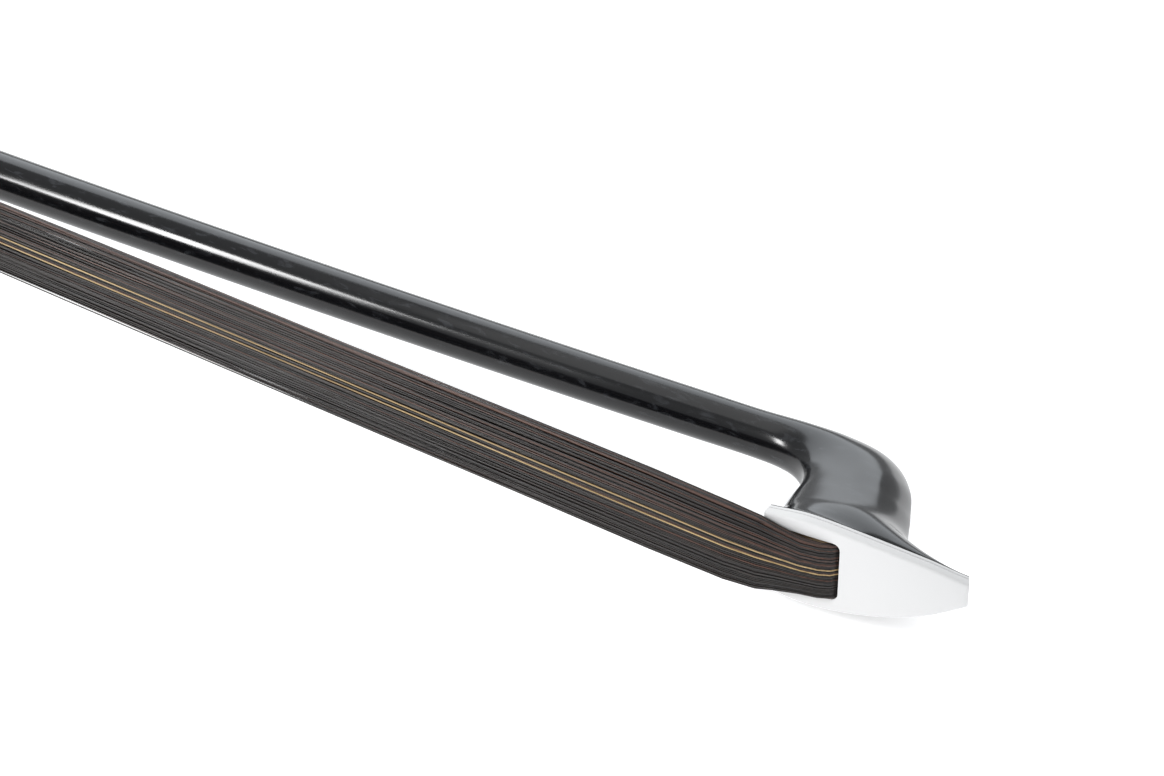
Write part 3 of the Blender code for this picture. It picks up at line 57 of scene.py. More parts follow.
V_AXIS = Vector((math.sin(HANDLE_TILT), math.cos(HANDLE_TILT), 0.0))
HAIR_FREE_LENGTH = 0.650
FROG_REACH = 0.0243
HANDLE_ORIGIN = Vector((-HAIR_FREE_LENGTH, 0.0, 0.0)) + V_AXIS * FROG_REACH

# Stick
HANDLE_RADIUS = 0.0043
HEAD_RADIUS = 0.0027
TAPER_FULLNESS = 0.256
STICK_HEIGHT_AT_HEAD = 0.0215
STICK_RISE_AT_HEAD = math.radians(5.52)
HANDLE_STRAIGHT_LENGTH = 0.028
HANDLE_FRONT = HANDLE_ORIGIN + U_AXIS * HANDLE_STRAIGHT_LENGTH
OCTAGON_END = 0.004
OCTAGON_FADE_LENGTH = 0.018
U_BUTT = -0.052
BUTT_BEVEL = 0.0003
NIPPLE_RADIUS = 0.0024
NIPPLE_LENGTH = 0.0027
ROUND = 64
STICK_STEP = 0.006
STICK_SHARP_ANGLE = 38

# Head and tip plate
PLATE_LENGTH = 0.0218
PLATE_THICKNESS = 0.0011
PLATE_REAR_HEIGHT = 0.0014
PLATE_SLOPE = 0.11
PLATE_CURL = 0.0034
PLATE_CURL_POWER = 3.4
GLUE_GAP = 0.0001
LINER_THICKNESS = 0.0004
PLATE_SEAT_DEPTH = PLATE_THICKNESS + LINER_THICKNESS + 2 * GLUE_GAP
PLATE_EDGE = ((0.0, 0.00034), (0.00004, 0.00018), (0.00012, 0.00006), (0.00026, 0.0))
PLATE_SHARP_ANGLE = 40
HEAD_BLEND_LENGTH = 0.0135
HEAD_START = 1.5 * HEAD_BLEND_LENGTH
HEAD_RINGS = 110
PLATE_HALF_WIDTHS = ((0.0, 0.0047), (0.23, 0.0052), (0.55, 0.0045), (0.82, 0.0031), (1.0, 0.0014))
HEAD_SECTIONS = (
    (-0.0092, 0.785, -0.358, 1.125, 0.0029),
    (-0.0062, 0.735, -0.101, 1.155, 0.0031),
    (-0.0039, 0.635, 0.124, 1.120, 0.0034),
    (-0.0026, 0.505, 0.298, 0.940, 0.0037),
    (-0.0018, 0.325, 0.430, 0.690, 0.0041),
    (-0.0010, 0.170, 0.555, 0.440, 0.0046),
    (-0.0005, 0.070, 0.715, 0.315, 0.0050),
)
CHEEK_BACK_POWER = 0.5
CHEEK_RIDGE_POWER = 1.7
BEAK_RIDGE_POWER = 1.1
STATIONS_TO_CHEEK = 4.0
STATIONS_TO_PLATE = 1.6
BEAK_START = 4.0
STATIONS_TO_BEAK = 3.5
MORTISE_REAR = 0.0024
MORTISE_FRONT = 0.0089
MORTISE_WIDTH = 0.0070
MORTISE_DEPTH = 0.0060
MORTISE_DRAFT = 0.0006
MORTISE_SIDE_DRAFT = 0.0010
MORTISE_CORNER = 0.0008
CORNER_STEPS = 5

# The eyelet's slot and the screw's bore, along the handle
SLOT_HALF_WIDTH = 0.0023
SLOT_REAR = -0.0331
SLOT_FRONT = -0.0195
SLOT_BOTTOM = -0.0086
SLOT_TOP = 0.0027
SLOT_END_STEPS = 8
BORE_RADIUS = 0.00175
BORE_REAR = -0.0574
BORE_FRONT = -0.0145
BORE_SIDES = 32

# Hair
HAIR_LAYERS = 5
HAIR_COLUMNS = 46
HAIR_RADIUS = 0.000105
HAIR_SIDES = 5
HAIR_THINNEST = 0.78
HAIR_DEPTH = 0.0010
HAIR_DEPTH_AT_FROG = 0.0007
HAIR_THINNING = 1.6
HAIR_WIDTH = 0.0100
HAIR_WIDTH_AT_FROG = 0.0112
HAIR_WIDTH_IN_FERRULE = 0.0098
HAIR_WIDTH_IN_FROG = 0.0066
HAIR_BACK = 0.00035
HAIR_CHANNEL = -0.02185
HAIR_KNOT_U = -0.02005
HAIR_NEAR_STEP = 0.0075
HAIR_NEAR_COUNT = 17
HAIR_FAR_START = 0.1275
HAIR_FAR_STEP = 0.0232
HAIR_FAR_COUNT = 21
# From the knot in the head: x, y, direction of the ribbon's depth, depth and width
HAIR_TIP_STATIONS = (
    (0.00775, 0.0075, (-1.0, 0.0), 0.0006, 0.0046),
    (0.00835, 0.0044, (-1.0, 0.0), 0.0006, 0.0062),
    (0.00842, 0.0031, (-0.85, 0.53), 0.0006, 0.0066),
    (0.00800, 0.0024, (-0.4, 0.92), 0.0006, 0.0067),
    (0.00700, 0.0018, (0.0, 1.0), 0.00062, 0.0067),
    (0.0050, 0.0013, (0.0, 1.0), 0.0007, 0.0068),
    (0.0020, 0.00095, (0.0, 1.0), 0.0008, 0.0080),
    (0.0, 0.00072, (0.0, 1.0), 0.0009, 0.0090),
    (-0.0040, 0.0005, (0.0, 1.0), 0.0010, 0.0096),
    (-0.0140, 0.0005, (0.0, 1.0), 0.0010, 0.0100),
)

# How a hair strays from its place, eased in from the knots
HAIR_FREE_REAR = -0.647
HAIR_FREE_FRONT = -0.001
HAIR_EASE = 6.0
HAIR_DEPTH_JITTER = 0.05
HAIR_WIDTH_JITTER = 0.007
HAIR_OUTER_SQUEEZE = 0.985
HAIR_STRAY_SHARE = 0.08
HAIR_STRAY_DRIFT = 0.5
HAIR_DRIFT = 0.12
HAIR_DRIFT_REACH = 0.001
HAIR_DRIFT_WAVE = 6.5
HAIR_SWAY = 0.00006
HAIR_SWAY_WAVE = 75.0
HAIR_SLOW_SWAY = 0.00008
HAIR_SLOW_WAVE = 24.0
HAIR_LIFT = 0.00003
HAIR_LIFT_WAVE = 60.0

# The hairs' finishes, in the order of their slots, and which hairs have them
DARK, BROWN, GOLD, PALE = range(4)
HAIR_BROWN_FROM = 0.80
HAIR_PALE_FROM = 0.985
HAIR_GOLD_COLUMNS = (20, 24)
HAIR_EDGE_COLUMNS = (0, 1)
HAIR_EDGE_PALE_FROM = 0.6

# Grip
SEAT_GAP = 0.0002
LEATHER_THICKNESS = 0.0011
LEATHER_START = -0.0041
LEATHER_LENGTH = 0.030
LEATHER_RIM = 0.0008
LEATHER_RIM_PROFILE = ((0.0, 0.00035), (0.00012, 0.0007), (0.0004, 0.00098))
LEATHER_STEPS = 14
LEATHER_THIN_LENGTH = 0.004
LEATHER_THIN_REACH = 0.0036
LEATHER_THIN_THICKNESS = 0.00045
LEATHER_THIN_STEPS = 5
LEATHER_EDGE_THICKNESS = 0.0002
LEATHER_SHARP_ANGLE = 55
WINDING_AFTER_LEATHER = 0.0006
WINDING_END_X = -0.5576
WINDING_GAP = 0.00013
WIRE_DIAMETER = 0.00034
WIRE_PITCH = 0.00037
WIRE_SIDES = 6
WIRE_STEPS = 20

# Pins in the heel plate
PIN_PLACES = (-0.0095, -0.0190)
PIN_PROFILE = ((0.0, 0.00055), (0.00008, 0.00052), (0.00016, 0.0004), (0.0002, 0.0002))
PIN_FACE = -0.04898
PIN_SIDES = 20
PIN_SHARP_ANGLE = 60

# Edges of the model's own nodes
WELD_DISTANCE = 0.000001
BEVEL_SEGMENTS = 3
BEVEL_ANGLE = 28

# Brushing of the metals, as noise scales: along the bow, and round a turned piece
BRUSHED_ALONG = (900.0, 5200.0, 5200.0)
BRUSHED_ROUND = (6000.0, 900.0, 900.0)

# Floor, sky and lights
FLOOR_REACH = 6.0
FLOOR_DROP = 0.00005
SKY_COLOUR = (0.97, 0.985, 1.0, 1.0)
SKY_STRENGTH = 0.50
LIT_HEAD = Vector((0.0, 0.015, 0.0))
LIT_STICK = Vector((-0.075, 0.018, 0.0))
BACK_BOX_PLACE = Vector((-0.52, 0.68, 0.51)) * 0.8
BACK_BOX_SIZE = (0.9, 0.5)
BACK_BOX_POWER = 2.6
BACK_BOX_COLOUR = (0.90, 0.95, 1.0)
TOP_BOX_PLACE = Vector((-0.1, 0.0, 1.1))
TOP_BOX_SIZE = (1.2, 1.2)
TOP_BOX_POWER = 4.0
KEY_PLACE = Vector((-0.656, -0.767, 0.513)) * 0.6
KEY_SIZE = (0.115, 0.19)
KEY_POWER = 1.9

# Camera
CAMERA_LENS = 89.7
CAMERA_SENSOR = 36.0
CAMERA_CLIP = (0.01, 50.0)
CAMERA_PLACE = Vector((0.1400, -0.2110, 0.1716))
CAMERA_FORWARD = Vector((-0.5244, 0.6793, -0.5135))
CAMERA_UPWARD = Vector((-0.314, 0.4065, 0.858))


def mix(a, b, share):
    return a + (b - a) * share


def smooth(share):
    share = min(max(share, 0.0), 1.0)
    return share * share * (3.0 - 2.0 * share)


def hermite(start, end, start_slope, end_slope, t):
    square = t * t
    cube = square * t
    return (
        (2 * cube - 3 * square + 1) * start
        + (cube - 2 * square + t) * start_slope
        + (3 * square - 2 * cube) * end
        + (cube - square) * end_slope
    )


def curve_through(points, place):
    """A smooth curve through tuples spaced one apart, read at place."""
    last = len(points) - 1
    first = min(max(int(place), 0), last - 1)
    before = points[max(first - 1, 0)]
    after = points[min(first + 2, last)]
    return [
        hermite(p1, p2, (p2 - p0) / 2, (p3 - p1) / 2, place - first)
        for p0, p1, p2, p3 in zip(before, points[first], points[first + 1], after)
    ]


def curve_value(pairs, place):
    """A smooth curve through (place, value) pairs, read at place."""
    last = len(pairs) - 1
    first = 0
    while first < last - 1 and place > pairs[first + 1][0]:
        first += 1
    slopes = []
    for index in (first, first + 1):
        low = pairs[max(index - 1, 0)]
        high = pairs[min(index + 1, last)]
        slopes.append((high[1] - low[1]) / (high[0] - low[0]))
    (x0, y0), (x1, y1) = pairs[first], pairs[first + 1]
    span = x1 - x0
    return hermite(y0, y1, slopes[0] * span, slopes[1] * span, (place - x0) / span)


def handle_point(u, v=0.0, w=0.0):
    return HANDLE_ORIGIN + U_AXIS * u + V_AXIS * v + ACROSS * w


def handle_x(u):
    return HANDLE_ORIGIN.x + U_AXIS.x * u


def stick_axis(x):
    """The stick's axis at x: its height above the hair, and its slope."""
    handle_slope = -math.tan(HANDLE_TILT)
    if x <= HANDLE_FRONT.x:
        return HANDLE_ORIGIN.y + handle_slope * (x - HANDLE_ORIGIN.x), handle_slope
    head_slope = math.tan(STICK_RISE_AT_HEAD)
    span = -HANDLE_FRONT.x
    ends = (HANDLE_FRONT.y, STICK_HEIGHT_AT_HEAD, handle_slope * span, head_slope * span)
    step = span / 1000
    height = hermite(*ends, (x - HANDLE_FRONT.x) / span)
    ahead = hermite(*ends, (x + step - HANDLE_FRONT.x) / span)
    return height, (ahead - height) / step


def stick_radius(x):
    share = min(max(x / HANDLE_FRONT.x, 0.0), 1.0)
    share *= 1.0 + TAPER_FULLNESS * (1.0 - share)
    return mix(HEAD_RADIUS, HANDLE_RADIUS, share)


def octagon_share(u):
    return 1.0 - smooth((u - OCTAGON_END) / OCTAGON_FADE_LENGTH)


def section(radius, octagon):
    """Points round a section from the hair side, between a circle and an octagon of the same flats."""
    points = []
    for j in range(ROUND):
        angle = math.tau * j / ROUND
        from_flat = (angle + math.pi / 8) % (math.pi / 4) - math.pi / 8
        reach = mix(radius, radius / math.cos(from_flat), octagon)
        points.append((-reach * math.cos(angle), reach * math.sin(angle)))
    return points


def stick_ring(x, grow=0.0):
    height, slope = stick_axis(x)
    normal = Vector((-slope, 1.0, 0.0)).normalized()
    centre = Vector((x, height, 0.0))
    octagon = octagon_share((x - HANDLE_ORIGIN.x) / U_AXIS.x)
    return [centre + normal * v + ACROSS * w for v, w in section(stick_radius(x) + grow, octagon)]


def handle_ring(u, radius, octagon=1.0):
    return [handle_point(u, v, w) for v, w in section(radius, octagon)]


def plate_point(share, depth):
    """A point of the tip plate's middle line, depth under its outer face."""
    x = PLATE_LENGTH * share
    slope = PLATE_SLOPE + PLATE_CURL * PLATE_CURL_POWER / PLATE_LENGTH * share ** (PLATE_CURL_POWER - 1.0)
    inward = Vector((-slope, 1.0, 0.0)).normalized()
    face = PLATE_REAR_HEIGHT + PLATE_SLOPE * x + PLATE_CURL * share**PLATE_CURL_POWER
    return Vector((x, face, 0.0)) + inward * depth


def plate_outline():
    """Half of the plate's outline from its rear edge, as (share of length, half-width) pairs."""
    rear = PLATE_HALF_WIDTHS[0][1]
    beak = PLATE_HALF_WIDTHS[-1][1]
    rear_steps = 5
    beak_steps = 3
    side_steps = ROUND // 2 - rear_steps - beak_steps
    pairs = [(0.0, rear * k / rear_steps) for k in range(rear_steps)]
    for j in range(side_steps + 1):
        share = j / side_steps
        pairs.append((share, curve_value(PLATE_HALF_WIDTHS, share)))
    pairs += [(1.0, beak * (1.0 - (k + 1) / beak_steps)) for k in range(beak_steps)]
    return pairs


def plate_ring(depth, inset=0.0):
    side = []
    for share, half_width in plate_outline():
        place = mix(inset, PLATE_LENGTH - inset, share) / PLATE_LENGTH
        side.append(plate_point(place, depth) + ACROSS * max(half_width - inset, 0.0))
    return side + [Vector((p.x, p.y, -p.z)) for p in reversed(side[1:-1])]


def head_stations():
    """Back edge, front edge and half-width of the head's sections, from the stick to the plate."""
    stations = []
    for setback in (HEAD_START, HEAD_BLEND_LENGTH):
        ring = stick_ring(-setback)
        back, front = ring[0], ring[ROUND // 2]
        stations.append((back.x, back.y, front.x, front.y, stick_radius(-setback)))
    low = plate_point(0.0, PLATE_SEAT_DEPTH)
    high = plate_point(1.0, PLATE_SEAT_DEPTH)
    height = STICK_HEIGHT_AT_HEAD - low.y
    for back_x, back_share, front_share, rise, half_width in HEAD_SECTIONS:
        back_y = low.y + back_share * height
        front_y = low.y + rise * height
        stations.append((back_x, back_y, front_share * PLATE_LENGTH, front_y, half_width))
    stations.append((low.x, low.y, high.x, high.y, curve_value(PLATE_HALF_WIDTHS, 0.5)))
    return stations


def head_ring(stations, place):
    """One section of the head, place counted in stations, turning from the stick's circle to the plate."""
    back_x, back_y, front_x, front_y, half_width = curve_through(stations, place)
    back = Vector((back_x, back_y, 0.0))
    front = Vector((front_x, front_y, 0.0))
    last = len(stations) - 1
    to_cheek = smooth((place - 1.0) / STATIONS_TO_CHEEK)
    to_plate = smooth((place - last + STATIONS_TO_PLATE) / STATIONS_TO_PLATE)
    back_power = mix(1.0, CHEEK_BACK_POWER, to_cheek)
    to_beak = smooth((place - last + BEAK_START) / STATIONS_TO_BEAK)
    ridge_power = mix(1.0, mix(CHEEK_RIDGE_POWER, BEAK_RIDGE_POWER, to_beak), to_cheek)
    side = []
    for j, (share, plate_width) in enumerate(plate_outline()):
        turn = math.pi * j / (ROUND // 2)
        across = (1.0 - math.cos(turn)) / 2
        power = back_power if across < 0.5 else ridge_power
        on_cheek = back.lerp(front, across) + ACROSS * half_width * max(math.sin(turn), 0.0) ** power
        on_plate = plate_point(share, PLATE_SEAT_DEPTH) + ACROSS * plate_width
        side.append(on_cheek.lerp(on_plate, to_plate))
    side[0].z = 0.0
    side[-1].z = 0.0
    return side + [Vector((p.x, p.y, -p.z)) for p in reversed(side[1:-1])]


def stick_rings():
    rings = [
        handle_ring(U_BUTT - NIPPLE_LENGTH, NIPPLE_RADIUS, 0.0),
        handle_ring(U_BUTT, NIPPLE_RADIUS, 0.0),
        handle_ring(U_BUTT, HANDLE_RADIUS - BUTT_BEVEL),
        handle_ring(U_BUTT + BUTT_BEVEL, HANDLE_RADIUS),
    ]
    start = handle_x(OCTAGON_END)
    end = -HEAD_START
    steps = round((end - start) / STICK_STEP)
    for step in range(steps + 1):
        rings.append(stick_ring(mix(start, end, step / steps)))
    stations = head_stations()
    for step in range(1, HEAD_RINGS + 1):
        rings.append(head_ring(stations, mix(0.0, len(stations) - 1.0, step / HEAD_RINGS)))
    return rings


def cap(bm, loop):
    """Close a loop that is mirrored about its first point, with faces that run straight across."""
    half = len(loop) // 2
    bm.faces.new((loop[0], loop[1], loop[-1]))
    for j in range(1, half - 1):
        bm.faces.new((loop[j], loop[j + 1], loop[-j - 1], loop[-j]))
    bm.faces.new((loop[half - 1], loop[half], loop[half + 1]))


def loft(name, rings, closed=False, flat=False):
    """A solid through rings given in the bow frame."""
    bm = bmesh.new()
    loops = [[bm.verts.new(Vector(point) + BOW) for point in ring] for ring in rings]
    pairs = list(zip(loops, loops[1:] + ([loops[0]] if closed else [])))
    count = len(loops[0])
    for low, high in pairs:
        for j in range(count):
            k = (j + 1) % count
            bm.faces.new((low[j], low[k], high[k], high[j]))
    if not closed:
        if flat:
            bm.faces.new(loops[0])
            bm.faces.new(loops[-1])
        else:
            cap(bm, loops[0])
            cap(bm, loops[-1])
    bmesh.ops.recalc_face_normals(bm, faces=bm.faces)
    mesh = bpy.data.meshes.new(name)
    bm.to_mesh(mesh)
    bm.free()
    return add_object(name, mesh)


def add_object(name, mesh):
    piece = bpy.data.objects.new(name, mesh)
    bpy.context.scene.collection.objects.link(piece)
    return piece


def soften(mesh, degrees):
    mesh.shade_smooth()
    mesh.set_sharp_from_angle(angle=math.radians(degrees))


def cut(piece, *cutters):
    """Cut shapes out of a piece for good, and remove them."""
    for cutter in cutters:
        modifier = piece.modifiers.new("cut", "BOOLEAN")
        modifier.object = cutter
        modifier.solver = "MANIFOLD"
    graph = bpy.context.evaluated_depsgraph_get()
    mesh = bpy.data.meshes.new_from_object(piece.evaluated_get(graph))
    piece.modifiers.clear()
    piece.data = mesh
    for cutter in cutters:
        bpy.data.objects.remove(cutter)


def finish_piece(piece, body, slot, *replaced):
    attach(piece, body)
    if replaced:
        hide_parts(*replaced)


class Finish:
    """A node-based material, with short ways to add nodes."""

    def __init__(self, name, **sockets):
        self.material = bpy.data.materials.new(name)
        self.material.use_nodes = True
        self.tree = self.material.node_tree
        self.shader = self.tree.nodes["Principled BSDF"]
        for socket, value in sockets.items():
            self.shader.inputs[socket.replace("_", " ")].default_value = value
        self.place = self.tree.nodes.new("ShaderNodeTexCoord").outputs["Object"]

    def stretched(self, scale):
        mapping = self.tree.nodes.new("ShaderNodeMapping")
        mapping.inputs["Scale"].default_value = scale
        self.tree.links.new(self.place, mapping.inputs["Vector"])
        return mapping.outputs["Vector"]

    def noise(self, vector, detail=3.0, distortion=0.0):
        node = self.tree.nodes.new("ShaderNodeTexNoise")
        node.inputs["Scale"].default_value = 1.0
        node.inputs["Detail"].default_value = detail
        node.inputs["Distortion"].default_value = distortion
        self.tree.links.new(vector, node.inputs["Vector"])
        return node.outputs["Fac"]

    def cells(self, vector):
        node = self.tree.nodes.new("ShaderNodeTexVoronoi")
        node.feature = "SMOOTH_F1"
        node.inputs["Scale"].default_value = 1.0
        self.tree.links.new(vector, node.inputs["Vector"])
        return node.outputs["Distance"]

    def ramp(self, value, *stops):
        node = self.tree.nodes.new("ShaderNodeValToRGB")
        elements = node.color_ramp.elements
        while len(elements) < len(stops):
            elements.new(0.5)
        for element, (place, colour) in zip(elements, stops):
            element.position = place
            element.color = (*colour, 1.0)
        self.tree.links.new(value, node.inputs["Fac"])
        return node.outputs["Color"]

    def blend(self, share, low, high):
        node = self.tree.nodes.new("ShaderNodeMix")
        node.data_type = "RGBA"
        self.tree.links.new(share, node.inputs["Factor"])
        self.tree.links.new(low, node.inputs["A"])
        self.tree.links.new(high, node.inputs["B"])
        return node.outputs["Result"]

    def ranged(self, value, low, high, to_low, to_high):
        node = self.tree.nodes.new("ShaderNodeMapRange")
        node.inputs["From Min"].default_value = low
        node.inputs["From Max"].default_value = high
        node.inputs["To Min"].default_value = to_low
        node.inputs["To Max"].default_value = to_high
        self.tree.links.new(value, node.inputs["Value"])
        return node.outputs["Result"]

    def axis(self, name):
        node = self.tree.nodes.new("ShaderNodeSeparateXYZ")
        self.tree.links.new(self.place, node.inputs["Vector"])
        return node.outputs[name]

    def colour(self, value):
        self.tree.links.new(value, self.shader.inputs["Base Color"])

    def rough(self, value):
        self.tree.links.new(value, self.shader.inputs["Roughness"])

    def bump(self, value, strength, distance):
        node = self.tree.nodes.new("ShaderNodeBump")
        node.inputs["Strength"].default_value = strength
        node.inputs["Distance"].default_value = distance
        self.tree.links.new(value, node.inputs["Height"])
        self.tree.links.new(node.outputs["Normal"], self.shader.inputs["Normal"])


def carbon_finish():
    """Black lacquered carbon, with faint flecks of the fibres under it."""
    finish = Finish("black_carbon", IOR=1.5)
    flecks = finish.noise(finish.stretched((420.0, 1500.0, 1500.0)), detail=4.0, distortion=0.6)
    tone = finish.ramp(
        flecks, (0.0, (0.003, 0.0032, 0.004)), (0.56, (0.0045, 0.0048, 0.006)), (0.72, (0.028, 0.030, 0.034))
    )
    finish.colour(tone)
    haze = finish.noise(finish.stretched((60.0, 160.0, 160.0)), detail=2.0)
    finish.rough(finish.ranged(haze, 0.3, 0.7, 0.13, 0.20))
    return finish.material


def plate_finish():
    finish = Finish("white_plate", Roughness=0.36)
    soft = finish.noise(finish.stretched((220.0, 220.0, 220.0)), detail=4.0)
    body = finish.ramp(soft, (0.3, (0.60, 0.595, 0.58)), (0.7, (0.66, 0.65, 0.63)))
    aged = finish.ramp(soft, (0.3, (0.62, 0.56, 0.46)), (0.7, (0.66, 0.62, 0.53)))
    to_beak = finish.ranged(finish.axis("X"), BOW.x + 0.013, BOW.x + 0.0215, 0.0, 0.7)
    finish.colour(finish.blend(to_beak, body, aged))
    finish.bump(finish.noise(finish.stretched((900.0, 3200.0, 900.0)), detail=2.0), 0.08, 0.0001)
    return finish.material


def liner_finish():
    finish = Finish("black_liner")
    grain = finish.noise(finish.stretched((900.0, 900.0, 900.0)))
    finish.colour(finish.ramp(grain, (0.3, (0.006, 0.006, 0.006)), (0.7, (0.018, 0.017, 0.017))))
    finish.rough(finish.ranged(grain, 0.3, 0.7, 0.4, 0.6))
    return finish.material


def hair_finish(name, dark, light):
    finish = Finish(name, Roughness=0.34)
    streaks = finish.noise(finish.stretched((30.0, 5200.0, 5200.0)), detail=2.0)
    finish.colour(finish.ramp(streaks, (0.34, dark), (0.68, light)))
    return finish.material


def leather_finish():
    finish = Finish("black_leather")
    grain = finish.cells(finish.stretched((2100.0, 2100.0, 2100.0)))
    worn = finish.noise(finish.stretched((90.0, 90.0, 90.0)))
    finish.colour(finish.ramp(worn, (0.35, (0.010, 0.009, 0.009)), (0.72, (0.030, 0.027, 0.025))))
    finish.rough(finish.ranged(worn, 0.3, 0.7, 0.46, 0.62))
    finish.bump(grain, 0.5, 0.00015)
    return finish.material


def ebony_finish():
    finish = Finish("ebony_wood")
    grain = finish.noise(finish.stretched((130.0, 1500.0, 1500.0)), detail=5.0)
    finish.colour(
        finish.ramp(
            grain,
            (0.3, (0.008, 0.0065, 0.006)),
            (0.6, (0.016, 0.012, 0.010)),
            (0.78, (0.040, 0.026, 0.018)),
        )
    )
    finish.rough(finish.ranged(grain, 0.3, 0.7, 0.24, 0.36))
    finish.bump(finish.noise(finish.stretched((400.0, 5200.0, 5200.0)), detail=2.0), 0.12, 0.0001)
    return finish.material


def pearl_finish():
    finish = Finish("pearl_shell", Roughness=0.16, Coat_Weight=0.6, Coat_Roughness=0.06)
    waves = finish.noise(finish.stretched((260.0, 420.0, 420.0)), detail=3.0, distortion=1.6)
    finish.colour(
        finish.ramp(
            waves,
            (0.30, (0.60, 0.68, 0.66)),
            (0.43, (0.78, 0.79, 0.72)),
            (0.52, (0.74, 0.62, 0.66)),
            (0.61, (0.56, 0.70, 0.74)),
            (0.74, (0.84, 0.83, 0.80)),
        )
    )
    finish.bump(waves, 0.08, 0.0002)
    return finish.material


def metal_finish(name, low, high, rough_low, rough_high, stretch):
    finish = Finish(name, Metallic=1.0)
    brushed = finish.noise(finish.stretched(stretch), detail=3.0)
    finish.colour(finish.ramp(brushed, (0.3, low), (0.7, high)))
    worn = finish.noise(finish.stretched((180.0, 180.0, 180.0)), detail=3.0)
    finish.rough(finish.ranged(worn, 0.3, 0.7, rough_low, rough_high))
    finish.bump(brushed, 0.05, 0.00005)
    return finish.material


def thread_finish():
    finish = Finish("red_thread", Roughness=0.8)
    turns = finish.noise(finish.stretched((300.0, 6000.0, 300.0)), detail=1.0)
    finish.colour(finish.ramp(turns, (0.4, (0.22, 0.03, 0.025)), (0.6, (0.46, 0.09, 0.07))))
    finish.bump(turns, 0.6, 0.0001)
    return finish.material


def wood_finish():
    finish = Finish("pale_wood", Roughness=0.7)
    grain = finish.noise(finish.stretched((200.0, 2600.0, 900.0)), detail=4.0)
    finish.colour(finish.ramp(grain, (0.35, (0.42, 0.27, 0.15)), (0.65, (0.62, 0.45, 0.27))))
    return finish.material


def floor_finish():
    finish = Finish(
        "pale_floor",
        Roughness=0.9,
        IOR=1.2,
        Emission_Color=(1.0, 1.0, 1.0, 1.0),
        Emission_Strength=0.56,
    )
    soft = finish.noise(finish.stretched((6.0, 6.0, 6.0)), detail=2.0)
    finish.colour(finish.ramp(soft, (0.3, (0.905, 0.905, 0.91)), (0.7, (0.92, 0.92, 0.925))))
    return finish.material


def rounded_rectangle(x0, x1, half, y, corner):
    points = []
    for cx, cz, start in (
        (x1 - corner, half - corner, 0.0),
        (x0 + corner, half - corner, math.pi / 2),
        (x0 + corner, -half + corner, math.pi),
        (x1 - corner, -half + corner, 1.5 * math.pi),
    ):
        for k in range(CORNER_STEPS + 1):
            turn = start + math.pi / 2 * k / CORNER_STEPS
            points.append((cx + corner * math.cos(turn), y, cz + corner * math.sin(turn)))
    return points


def mortise_cutter():
    """The mortise in the head, the liner and the plate, narrower towards its bottom."""
    middle = (MORTISE_REAR + MORTISE_FRONT) / 2 / PLATE_LENGTH
    seat = plate_point(middle, PLATE_SEAT_DEPTH).y
    half = MORTISE_WIDTH / 2
    deep = rounded_rectangle(
        MORTISE_REAR + MORTISE_DRAFT,
        MORTISE_FRONT - MORTISE_DRAFT,
        half - MORTISE_SIDE_DRAFT,
        seat + MORTISE_DEPTH,
        MORTISE_CORNER / 2,
    )
    rings = [
        rounded_rectangle(MORTISE_REAR, MORTISE_FRONT, half, y, MORTISE_CORNER)
        for y in (seat - 2 * PLATE_SEAT_DEPTH, seat)
    ]
    return loft("mortise_cutter", rings + [deep], flat=True)


def slot_cutter():
    """The slot in the handle that the eyelet slides in."""
    outline = []
    ends = ((SLOT_FRONT - SLOT_HALF_WIDTH, -math.pi / 2), (SLOT_REAR + SLOT_HALF_WIDTH, math.pi / 2))
    for centre, start in ends:
        for j in range(SLOT_END_STEPS + 1):
            turn = start + math.pi * j / SLOT_END_STEPS
            outline.append((centre + SLOT_HALF_WIDTH * math.cos(turn), SLOT_HALF_WIDTH * math.sin(turn)))
    rings = [[handle_point(u, v, w) for u, w in outline] for v in (SLOT_BOTTOM, SLOT_TOP)]
    return loft("slot_cutter", rings, flat=True)


def bore_cutter():
    """The bore in the handle that the screw runs in."""
    turns = [k * math.tau / BORE_SIDES for k in range(BORE_SIDES)]
    rings = [
        [handle_point(u, -BORE_RADIUS * math.cos(turn), BORE_RADIUS * math.sin(turn)) for turn in turns]
        for u in (BORE_REAR, BORE_FRONT)
    ]
    return loft("bore_cutter", rings, flat=True)


def make_stick(material):
    stick = loft("fine_stick", stick_rings())
    cut(stick, mortise_cutter(), slot_cutter(), bore_cutter())
    soften(stick.data, STICK_SHARP_ANGLE)
    stick.data.materials.clear()
    stick.data.materials.append(material)
    finish_piece(stick, "stick", "carbon", "stick")


def make_plate(white, black):
    """The tip plate and the thin liner between it and the head."""
    profile = (*PLATE_EDGE, (PLATE_THICKNESS, 0.0))
    plate = loft("fine_tip_plate", [plate_ring(depth, inset) for depth, inset in profile])
    cut(plate, mortise_cutter())
    soften(plate.data, PLATE_SHARP_ANGLE)
    plate.data.materials.append(white)
    finish_piece(plate, "stick", "plate_white", "tip_plate")
    top = PLATE_THICKNESS + GLUE_GAP
    liner = loft("fine_head_liner", [plate_ring(top), plate_ring(top + LINER_THICKNESS)])
    cut(liner, mortise_cutter())
    soften(liner.data, PLATE_SHARP_ANGLE)
    liner.data.materials.append(black)
    finish_piece(liner, "stick", "liner_black", "head_liner")


